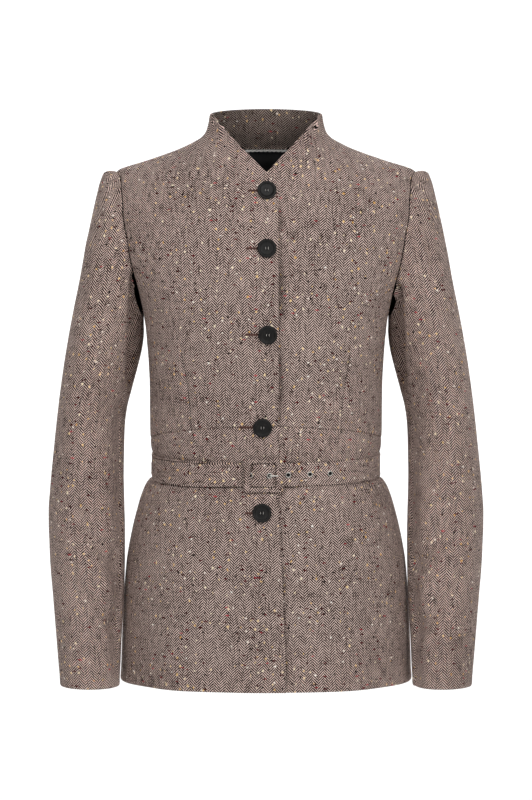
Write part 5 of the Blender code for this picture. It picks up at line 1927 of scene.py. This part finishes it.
@dataclass
class Belt:
    """One strip of tweed: from the buckle's bar once round the waist, over the bar and back on its outside."""

    form: WornForm
    closure: Closure
    finishes: Finishes
    width: float = 28.0
    cloth: float = 1.8
    layer_gap: float = 0.4
    tail: float = 166.0
    tail_gap: float = 0.5
    tail_drop: float = 2.2
    drop_from: float = 24.0
    drop_length: float = 60.0
    near_edge: tuple[float, ...] = (0.0, 0.4, 0.8, 1.2, 1.7, 2.3, 3.0, 4.2, 6.0, 8.5)   # columns of its face
    edge: float = 0.9           # radius of the turned edges
    bead: float = 0.28          # height of the low ridge beside each edge
    bead_in: float = 1.6
    bead_spread: float = 1.3
    lip: float = 3.0            # height of the upper edge where it stands up above the tail
    lip_spread: float = 0.8
    lip_end: float = 12.0       # length over which it falls at the tail's end
    drill: tuple[float, float] = (-2.1, 0.6)        # punched holes, from under the back to over the face
    weave_start: float = 4111.0                     # where on the endless weave the strip is cut
    tip: float = 13.0
    tip_width: float = 0.5
    buckle_x: float = -3.3
    hole: float = 2.7
    step: float = 2.2
    eyelets: tuple[float, ...] = (-15.3, 7.5, 29.5, 55.9, 81.0)
    start_lie: tuple[tuple[float, float], ...] = ((1.4, 6.6), (4.0, 6.0), (9.0, 3.9), (11.5, 3.0))
    outer_lie: tuple[tuple[float, float], ...] = (
        (-19.0, 5.3), (-11.5, 5.3), (-9.0, 6.4), (-2.5, 9.3), (11.0, 9.3),
        (15.2, 5.2), (19.5, 4.3), (24.0, 3.4), (40.0, 3.0),
    )
    eyelet_profile: tuple[tuple[float, float], ...] = (
        (2.3, 0.46), (2.45, 0.62), (2.7, 0.7), (2.95, 0.68), (3.2, 0.52), (3.38, 0.3), (3.4, 0.12),
        (2.55, 0.12), (2.55, -1.8), (2.3, -1.8),
    )
    # closed disc in each eyelet's hole, in the lining's black: painted shade in the hole
    shade_disc: tuple[tuple[float, float], ...] = ((0.0, -1.4), (2.2, -1.4), (2.2, -1.75), (0.0, -1.75))

    def __post_init__(self) -> None:
        """Lay out the belt's line round the waist."""
        first = float(self.form.angle_at_x(self.buckle_x, self.form.belt_level))
        self.line_angles = np.linspace(first, first + 4 * np.pi, 6001)
        self.line_run = run_along(self.form.plain(self.line_angles, self.form.belt_level), 0)
        self.once_round = float(np.interp(first + 2 * np.pi, self.line_angles, self.line_run))

    def out(self, run: Array) -> Array:
        """Distance of the belt's back from the body.

        Args:
            run: lengths along the belt.

        Returns:
            The distances.
        """
        angle = np.interp(run, self.line_run, self.line_angles)
        x = np.abs(self.form.plain(angle, self.form.belt_level)[..., 0])
        base = self.layer_gap + self.closure.lift(x)
        to_bar = self.once_round - run
        start_places, start_outs = zip(*self.start_lie)
        places, outs = zip(*self.outer_lie)
        lie = np.where(run < start_places[-1], np.interp(run, start_places, start_outs), base)
        near = (to_bar <= places[-1]) & (to_bar >= places[0])
        lie = np.where(near, np.interp(to_bar, places, outs), lie)
        return np.where(to_bar < places[0], base + self.cloth + self.tail_gap, lie)

    def points(self, run: Array, rise: Any, out: Any) -> Array:
        """Points of the belt.

        Args:
            run: lengths along it.
            rise: heights above its middle line.
            out: distances out from its back.

        Returns:
            The points.
        """
        run, rise, out = np.broadcast_arrays(np.asarray(run, float), rise, out)
        angle = np.interp(run, self.line_run, self.line_angles)
        level = np.full_like(run, self.form.belt_level)
        reach = (self.out(run) + out)[..., None]
        return self.form.plain(angle, level + rise) + self.form.normal(angle, level) * reach

    def eyelet_frame(self, place: float) -> Matrix:
        """Seat of an eyelet on the belt's face.

        Args:
            place: its distance from the buckle's bar along the belt.

        Returns:
            Its frame in millimetres, with its axis outwards.
        """
        run, small = self.once_round - place, 0.5
        seat_point = self.points(run, 0.0, self.cloth)
        across = unit(self.points(run - small, 0.0, 0.0) - self.points(run + small, 0.0, 0.0))
        up = np.array([0.0, 0.0, 1.0])
        out = unit(np.cross(across, up))
        across = np.cross(up, out)
        return Matrix([[across[i], up[i], out[i], seat_point[i]] for i in range(3)] + [[0, 0, 0, 1]])

    def strip(self) -> None:
        """Make the belt with its turned edges, blunt tip and punched holes."""
        end = self.once_round + self.tail
        run = np.concatenate([
            np.arange(self.start_lie[0][0], end - self.tip, self.step), end - np.linspace(self.tip, 0.0, 12)
        ])
        to_tip = np.clip((end - run) / self.tip, 0.0, 1.0)
        half = self.width / 2 * (self.tip_width + (1 - self.tip_width) * np.sin(np.pi / 2 * to_tip))
        drop = self.tail_drop * ease((run - self.once_round - self.drop_from) / self.drop_length)
        inset = np.array(self.near_edge) / (self.width / 2 - self.edge)
        face = np.concatenate([1 - inset, [0.0], inset[::-1] - 1])
        bend = np.radians([60.0, 30.0, 0.0, -30.0, -60.0])
        flat_half = (half - self.edge)[:, None]
        bead = self.bead * bell((1 - np.abs(face)) * (self.width / 2) - self.bead_in, self.bead_spread)
        covered = ease((run - self.drop_from) / self.drop_length) * ease((self.tail - run) / self.lip_end)
        lip = self.lip * covered[:, None] * bell((1 - face) * (self.width / 2), self.lip_spread)
        round_out, round_up = self.edge * np.cos(bend), self.edge * np.sin(bend)
        section = (     # rise and distance out of the face, lower edge, back and upper edge
            (flat_half * face, self.cloth + bead + lip),
            (-flat_half - round_out, self.cloth / 2 + round_up),
            (flat_half * -np.linspace(1.0, -1.0, 9), np.zeros(9)),
            (flat_half + round_out, self.cloth / 2 - round_up),
        )
        rise = np.concatenate([rises for rises, _ in section], axis=1)
        out = np.concatenate([np.broadcast_to(outs, rises.shape) for rises, outs in section], axis=1)
        points = self.points(run[:, None], rise - drop[:, None], out)
        around = points.shape[1]
        number = np.arange(points.shape[0] * around).reshape(-1, around)
        after = np.roll(number, -1, axis=1)
        faces = np.stack([number[:-1], number[1:], after[1:], after[:-1]], axis=-1).reshape(-1, 4).tolist()
        faces += [number[0].tolist(), number[-1, ::-1].tolist()]
        weave = np.stack([rise, np.broadcast_to(run[:, None], rise.shape)], axis=-1).reshape(-1, 2)
        weave += self.weave_start
        piece = new_piece("cloth_belt", points.reshape(-1, 3), faces, weave, [self.finishes.tweed])
        drills = Parts()
        for place in self.eyelets:
            drills.add_tube(np.array([[0.0, 0.0, depth] for depth in self.drill]), self.hole, 20)
            drills.moved(self.eyelet_frame(place), len(drills.points) - 1)
        cut_away(piece, drills)
        seat(piece, "tweed", "belt")

    def build(self) -> None:
        """Make the belt and set its eyelets, each with a closed dark disc in its hole: painted shade."""
        self.strip()
        # the lining's black on the disc in each hole: painted shade
        finishes = [self.finishes.nickel, self.finishes.lining]
        for number, place in enumerate(self.eyelets, 1):
            rim = Parts()
            for pick, profile in enumerate((self.eyelet_profile, self.shade_disc)):
                points, faces = turned(profile, 36)
                rim.add(points, faces, points[:, :2], pick)
            rim.moved(self.eyelet_frame(place))
            seat(rim.piece(f"rim_eyelet_{number}", finishes), "nickel", f"eyelet_{number}")


@dataclass
class Buckle:
    """Frame covered in the jacket's own tweed, with a plated bar; the prong stays as built."""

    belt: Belt
    half: tuple[float, float] = (23.7, 20.6)
    window: tuple[float, float] = (15.6, 14.5)
    corner: float = 5.0
    window_corner: float = 2.0
    thick: float = 3.4
    stands: float = 7.9
    bar_radius: float = 1.0
    bar_stands: float = 8.0
    fullness: float = 2.7       # squareness of the padded frame's section
    weave_start: tuple[float, float] = (913.0, 277.0)   # where on the endless weave its cover is cut

    def outline(self, half: tuple[float, float], radius: float) -> Array:
        """Rectangle with round corners.

        Args:
            half: half its width and height.
            radius: radius of its corners.

        Returns:
            Points round it, as many for any size.
        """
        points = []
        centres = np.array([[1, 1], [-1, 1], [-1, -1], [1, -1]]) * (np.array(half) - radius)
        for quarter, centre in enumerate(centres):
            turn = np.pi / 2 * (quarter + np.linspace(0.0, 1.0, 9))
            arc = centre + radius * np.stack([np.cos(turn), np.sin(turn)], axis=-1)
            side = centres[(quarter + 1) % 4] - centre
            points += [arc, arc[-1] + side * np.linspace(0.0, 1.0, 16)[1:-1, None]]
        return np.concatenate(points)

    def build(self) -> None:
        """Cover the frame, set its bar and plate the prong."""
        form = self.belt.form
        front = form.plain(form.angle_at_x(self.belt.buckle_x, form.belt_level), form.belt_level)
        seat_frame = Matrix([
            [1, 0, 0, front[0]], [0, 0, -1, front[1]], [0, 1, 0, front[2]], [0, 0, 0, 1]
        ])
        outer, inner = self.outline(self.half, self.corner), self.outline(self.window, self.window_corner)
        middle, reach = (outer + inner) / 2, (outer - inner) / 2
        turn = np.linspace(0.0, 2 * np.pi, 24, endpoint=False)
        c, s = np.cos(turn), np.sin(turn)
        across = np.sign(c) * np.abs(c) ** (2 / self.fullness)
        high = np.sign(s) * np.abs(s) ** (2 / self.fullness) * self.thick / 2 + self.stands + self.thick / 2
        ring = middle[:, None] + reach[:, None] * across[None, :, None]
        heights = np.broadcast_to(high[None, :, None], (*ring.shape[:2], 1))
        points = np.concatenate([ring, heights], axis=-1).reshape(-1, 3)
        number = np.arange(len(points)).reshape(ring.shape[:2])
        along, after = np.roll(number, -1, axis=0), np.roll(number, -1, axis=1)
        both = np.roll(along, -1, axis=1)
        faces = np.stack([number, along, both, after], axis=-1).reshape(-1, 4)
        cover = Parts()
        cover.add(points, faces, points[:, :2] + np.array(self.weave_start))
        length = (self.half[1] + self.window[1]) / 2
        bar = np.array([[0.0, -length, self.bar_stands], [0.0, length, self.bar_stands]])
        cover.add_tube(bar, self.bar_radius, 16, 1)
        cover.moved(seat_frame)
        finishes = self.belt.finishes
        seat(cover.piece("covered_buckle", [finishes.tweed, finishes.nickel]), "tweed", "buckle")
        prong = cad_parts["buckle_prong"]
        prong.data.materials.clear()
        prong.data.materials.append(finishes.nickel)


# Buttons and buttonholes

@dataclass
class Buttons:
    """Four-hole buttons with bars of pale thread over holes filled with dark plugs of painted shade, and worked
    buttonholes beside them with painted shade in their slits.
    """

    form: WornForm
    closure: Closure
    finishes: Finishes
    gap: float = 0.4
    hole: float = 0.8
    hole_at: float = 1.6
    sides: int = 56
    profile: tuple[tuple[float, float], ...] = (
        (0.0, 2.6), (3.4, 2.62), (7.4, 2.8), (8.7, 3.9), (10.0, 4.2), (11.1, 3.5), (11.5, 2.2), (10.9, 0.9),
        (9.2, 0.0), (0.0, 0.0),
    )
    hole_starts: tuple[float, ...] = (-20.4, -22.8, -24.0, -31.2, -24.0)    # outer ends of the buttonholes
    hole_width: float = 1.5
    bead: float = 0.55              # radius of the worked edge
    bead_lie: float = 0.2           # of its middle above the cloth
    ripple: float = 0.16            # how much the stitches swell it
    slit: float = 0.42              # radius of the dark tube in the slit, painted shade
    slit_lie: float = 0.05
    plug: tuple[tuple[float, float], ...] = ((0.5, 0.7), (1.7, 0.7), (2.0, 0.45))   # height and radius of the dark plugs in the holes, painted shade
    bar: float = 0.2                # radius of a thread bar
    bar_flat: float = 0.8           # share of its half length that lies on the button
    bar_top: float = 2.85
    bar_bow: float = 0.3
    dip_from: float = 2.65          # where its ends turn down into the holes
    dip_slope: float = 9.0
    stitch: float = 2.1             # turn from point to point of the stitches' swell
    drill: tuple[float, float] = (-1.0, 5.0)        # drilled holes, from under the button to over it

    def seat_frame(self, level: float, x: float) -> Matrix:
        """Seat of a button on the upper front.

        Args:
            level: its height.
            x: its distance to the wearer's left.

        Returns:
            Its frame in millimetres, with its axis outwards.
        """
        angle = float(self.form.angle_at_x(x, level))
        out = self.form.normal(angle, level)
        place = self.form.plain(angle, level) + out * float(self.closure.upper_out(-x, level) + self.gap)
        turn = Vector(out).to_track_quat("Z", "Y").to_matrix().to_4x4()
        return Matrix.Translation(Vector(place)) @ turn

    def drilled_disc(self) -> bpy.types.Object:
        """Turn a button and drill its four holes.

        Returns:
            The button, at the origin.
        """
        points, faces = turned(smooth_profile(self.profile, 5), self.sides)
        disc = new_piece("button_blank", points, faces, points[:, :2], [self.finishes.horn])
        drills = Parts()
        for x in (-self.hole_at, self.hole_at):
            for y in (-self.hole_at, self.hole_at):
                drills.add_tube(np.array([[x, y, z] for z in self.drill]), self.hole, 16)
        cut_away(disc, drills)
        return disc

    def sew_on(self, tubes: Parts, where: Matrix) -> None:
        """Fill one button's holes with dark plugs of painted shade and lay two thin bars of thread from hole to
        hole.

        Args:
            tubes: collects the plugs and the thread.
            where: the button's seat.
        """
        start = len(tubes.points)
        t = np.linspace(-1.0, 1.0, 15)
        heights, radii = zip(*self.plug)
        over = self.bar_top - self.bar_bow * t**2
        dip = self.dip_from - self.dip_slope * (np.abs(t) - self.bar_flat)
        height = np.where(np.abs(t) < self.bar_flat, over, dip)
        for x in (-self.hole_at, self.hole_at):
            for y in (-self.hole_at, self.hole_at):
                # plugs in the near-black finish: painted shade in the holes
                tubes.add_tube(np.array([[x, y, h] for h in heights]), radii, 10, 1)
            bar = np.stack([np.full_like(t, x), self.hole_at * t, height], axis=-1)
            tubes.add_tube(bar, self.bar, 6)
        tubes.moved(where, start)

    def on_upper(self, x: Array, level: Array, out: float) -> Array:
        """Points on or over the upper front.

        Args:
            x: distances to the wearer's left.
            level: heights.
            out: distance out from the cloth.

        Returns:
            The points.
        """
        return self.form.on_front(x, level, self.closure.upper_out(-x, level) + out)

    def work_hole(self, stitches: Parts, level: float, start: float, end: float) -> None:
        """Work one buttonhole: a slit drawn as a dark tube of painted shade between two rows of close stitches,
        joined round its outer end.

        Args:
            stitches: collects the forms.
            level: its height.
            start: its outer end.
            end: its end under the button.
        """
        x = np.linspace(end, start, 64)
        half = self.hole_width / 2
        ends = np.linspace(np.pi / 2, 3 * np.pi / 2, 12)[1:-1]
        loop_x = np.concatenate([x, start + half * np.cos(ends), x[::-1]])
        loop_z = np.concatenate([np.full(64, half), half * np.sin(ends), np.full(64, -half)])
        ripple = 1 + self.ripple * np.sin(np.arange(len(loop_x)) * self.stitch)
        stitches.add_tube(self.on_upper(loop_x, level + loop_z, self.bead_lie), self.bead * ripple, 8)
        # thin dark tube along the slit: painted shade
        stitches.add_tube(self.on_upper(x, level + 0 * x, self.slit_lie), self.slit, 6, 1)

    def build(self) -> None:
        """Sew on the five buttons and work their buttonholes."""
        disc = self.drilled_disc()
        tubes, stitches = Parts(), Parts()
        for number, (level, x) in enumerate(self.closure.buttons, 1):
            where = self.seat_frame(level, x)
            mesh = disc.data.copy()
            scaled = where.copy()
            scaled.translation = where.translation * MM
            mesh.transform(scaled)
            button = bpy.data.objects.new(f"horn_button_{number}", mesh)
            bpy.context.scene.collection.objects.link(button)
            seat(button, "button_horn", f"button_{number}")
            self.sew_on(tubes, where)
            self.work_hole(stitches, level, self.hole_starts[number - 1], x)
        bpy.data.objects.remove(disc, do_unlink=True)
        seat(tubes.piece("button_threads", [self.finishes.thread, self.finishes.painted_shade_lines]), "trim_cord")
        seat(stitches.piece("worked_buttonholes", [self.finishes.hole_silk, self.finishes.painted_shade_lines]), "tweed")


# Studio

@dataclass
class Studio:
    """Pale floor with a lamp of its own, soft light from all round, three lamps in front and a long lens."""

    elevation: float = 7.0
    frame_height: float = 0.96      # metres across the picture's long side
    lens: float = 600.0
    sensor: float = 36.0
    centre: tuple[float, float] = (-0.06, -0.307)   # y and z that the camera looks at
    floor: float = -1.4             # a standing wearer's feet
    sky: float = 0.13
    lamps: tuple[tuple, ...] = (        # name, place and aim in metres, side in metres, power in watts
        ("left_lamp", (-1.4, -2.2, 1.1), (0.0, 0.0, -0.3), 1.0, 21.5),
        ("right_lamp", (1.4, -2.2, 1.1), (0.0, 0.0, -0.3), 1.0, 33.5),
        ("top_lamp", (0.1, -1.9, 1.9), (0.0, 0.0, -0.3), 0.7, 11.0),
        ("floor_lamp", (0.0, 11.5, 4.6), (0.0, 11.5, -1.4), 18.0, 1800.0),
    )
    half_floor: float = 60.0        # metres

    def build(self) -> None:
        """Set up the floor, the lights and the camera."""
        scene = bpy.context.scene
        scene.view_settings.view_transform = "Standard"
        signs = ((-1, -1), (1, -1), (1, 1), (-1, 1))
        points = np.array([[sx * self.half_floor, sy * self.half_floor, self.floor] for sx, sy in signs]) / MM
        floor = new_piece("floor", points, [[0, 1, 2, 3]], points[:, :2], [StudioPaper().material()])
        world = bpy.data.worlds.new("soft_box")
        world.use_nodes = True
        scene.world = world
        back = world.node_tree.nodes["Background"]
        back.inputs["Color"].default_value = linear("#fcfcfd")
        back.inputs["Strength"].default_value = self.sky
        for lamp in self.lamps:
            self.lamp(*lamp)
        self.camera(scene)

    def lamp(
        self, name: str, place: tuple[float, float, float], aim: tuple[float, float, float], size: float,
        power: float,
    ) -> None:
        """Add a large square lamp.

        Args:
            name: its name.
            place: where it stands, in metres.
            aim: what it faces.
            size: its side in metres.
            power: its power in watts.
        """
        data = bpy.data.lights.new(name, "AREA")
        data.shape, data.size, data.energy = "SQUARE", size, power
        lamp = bpy.data.objects.new(name, data)
        lamp.location = place
        lamp.rotation_euler = (Vector(aim) - Vector(place)).to_track_quat("-Z", "Y").to_euler()
        lamp.visible_camera = False
        bpy.context.scene.collection.objects.link(lamp)

    def camera(self, scene: bpy.types.Scene) -> None:
        """Place the camera in front and a little above.

        Args:
            scene: the scene it films.
        """
        data = bpy.data.cameras.new("camera")
        data.lens, data.sensor_width = self.lens, self.sensor
        data.clip_start, data.clip_end = 0.5, 120.0
        tilt = math.radians(self.elevation)
        away = Vector((0.0, -math.cos(tilt), math.sin(tilt)))
        distance = self.frame_height * self.lens / self.sensor
        camera = bpy.data.objects.new("camera", data)
        camera.location = Vector((0.0, *self.centre)) + away * distance
        camera.rotation_euler = (-away).to_track_quat("-Z", "Y").to_euler()
        scene.collection.objects.link(camera)
        scene.camera = camera


def main() -> None:
    """Build every sub-assembly in order."""
    logging.basicConfig(level=logging.INFO, format="%(message)s")
    Studio().build()
    finishes = Finishes()
    form, armhole, closure = WornForm(), Armhole(), Closure()
    tailor = Tailor(finishes)
    cloth = BodyCloth(form, armhole, closure, tailor)
    bodice = Bodice(cloth)
    bodice.build()
    NeckInside(bodice).build()
    Skirt(cloth).build()
    sleeves = Sleeves(form, armhole, tailor)
    for side in Side:
        sleeves.build(side)
    belt = Belt(form, closure, finishes)
    belt.build()
    Buckle(belt).build()
    Buttons(form, closure, finishes).build()


if __name__ == "__main__":
    main()
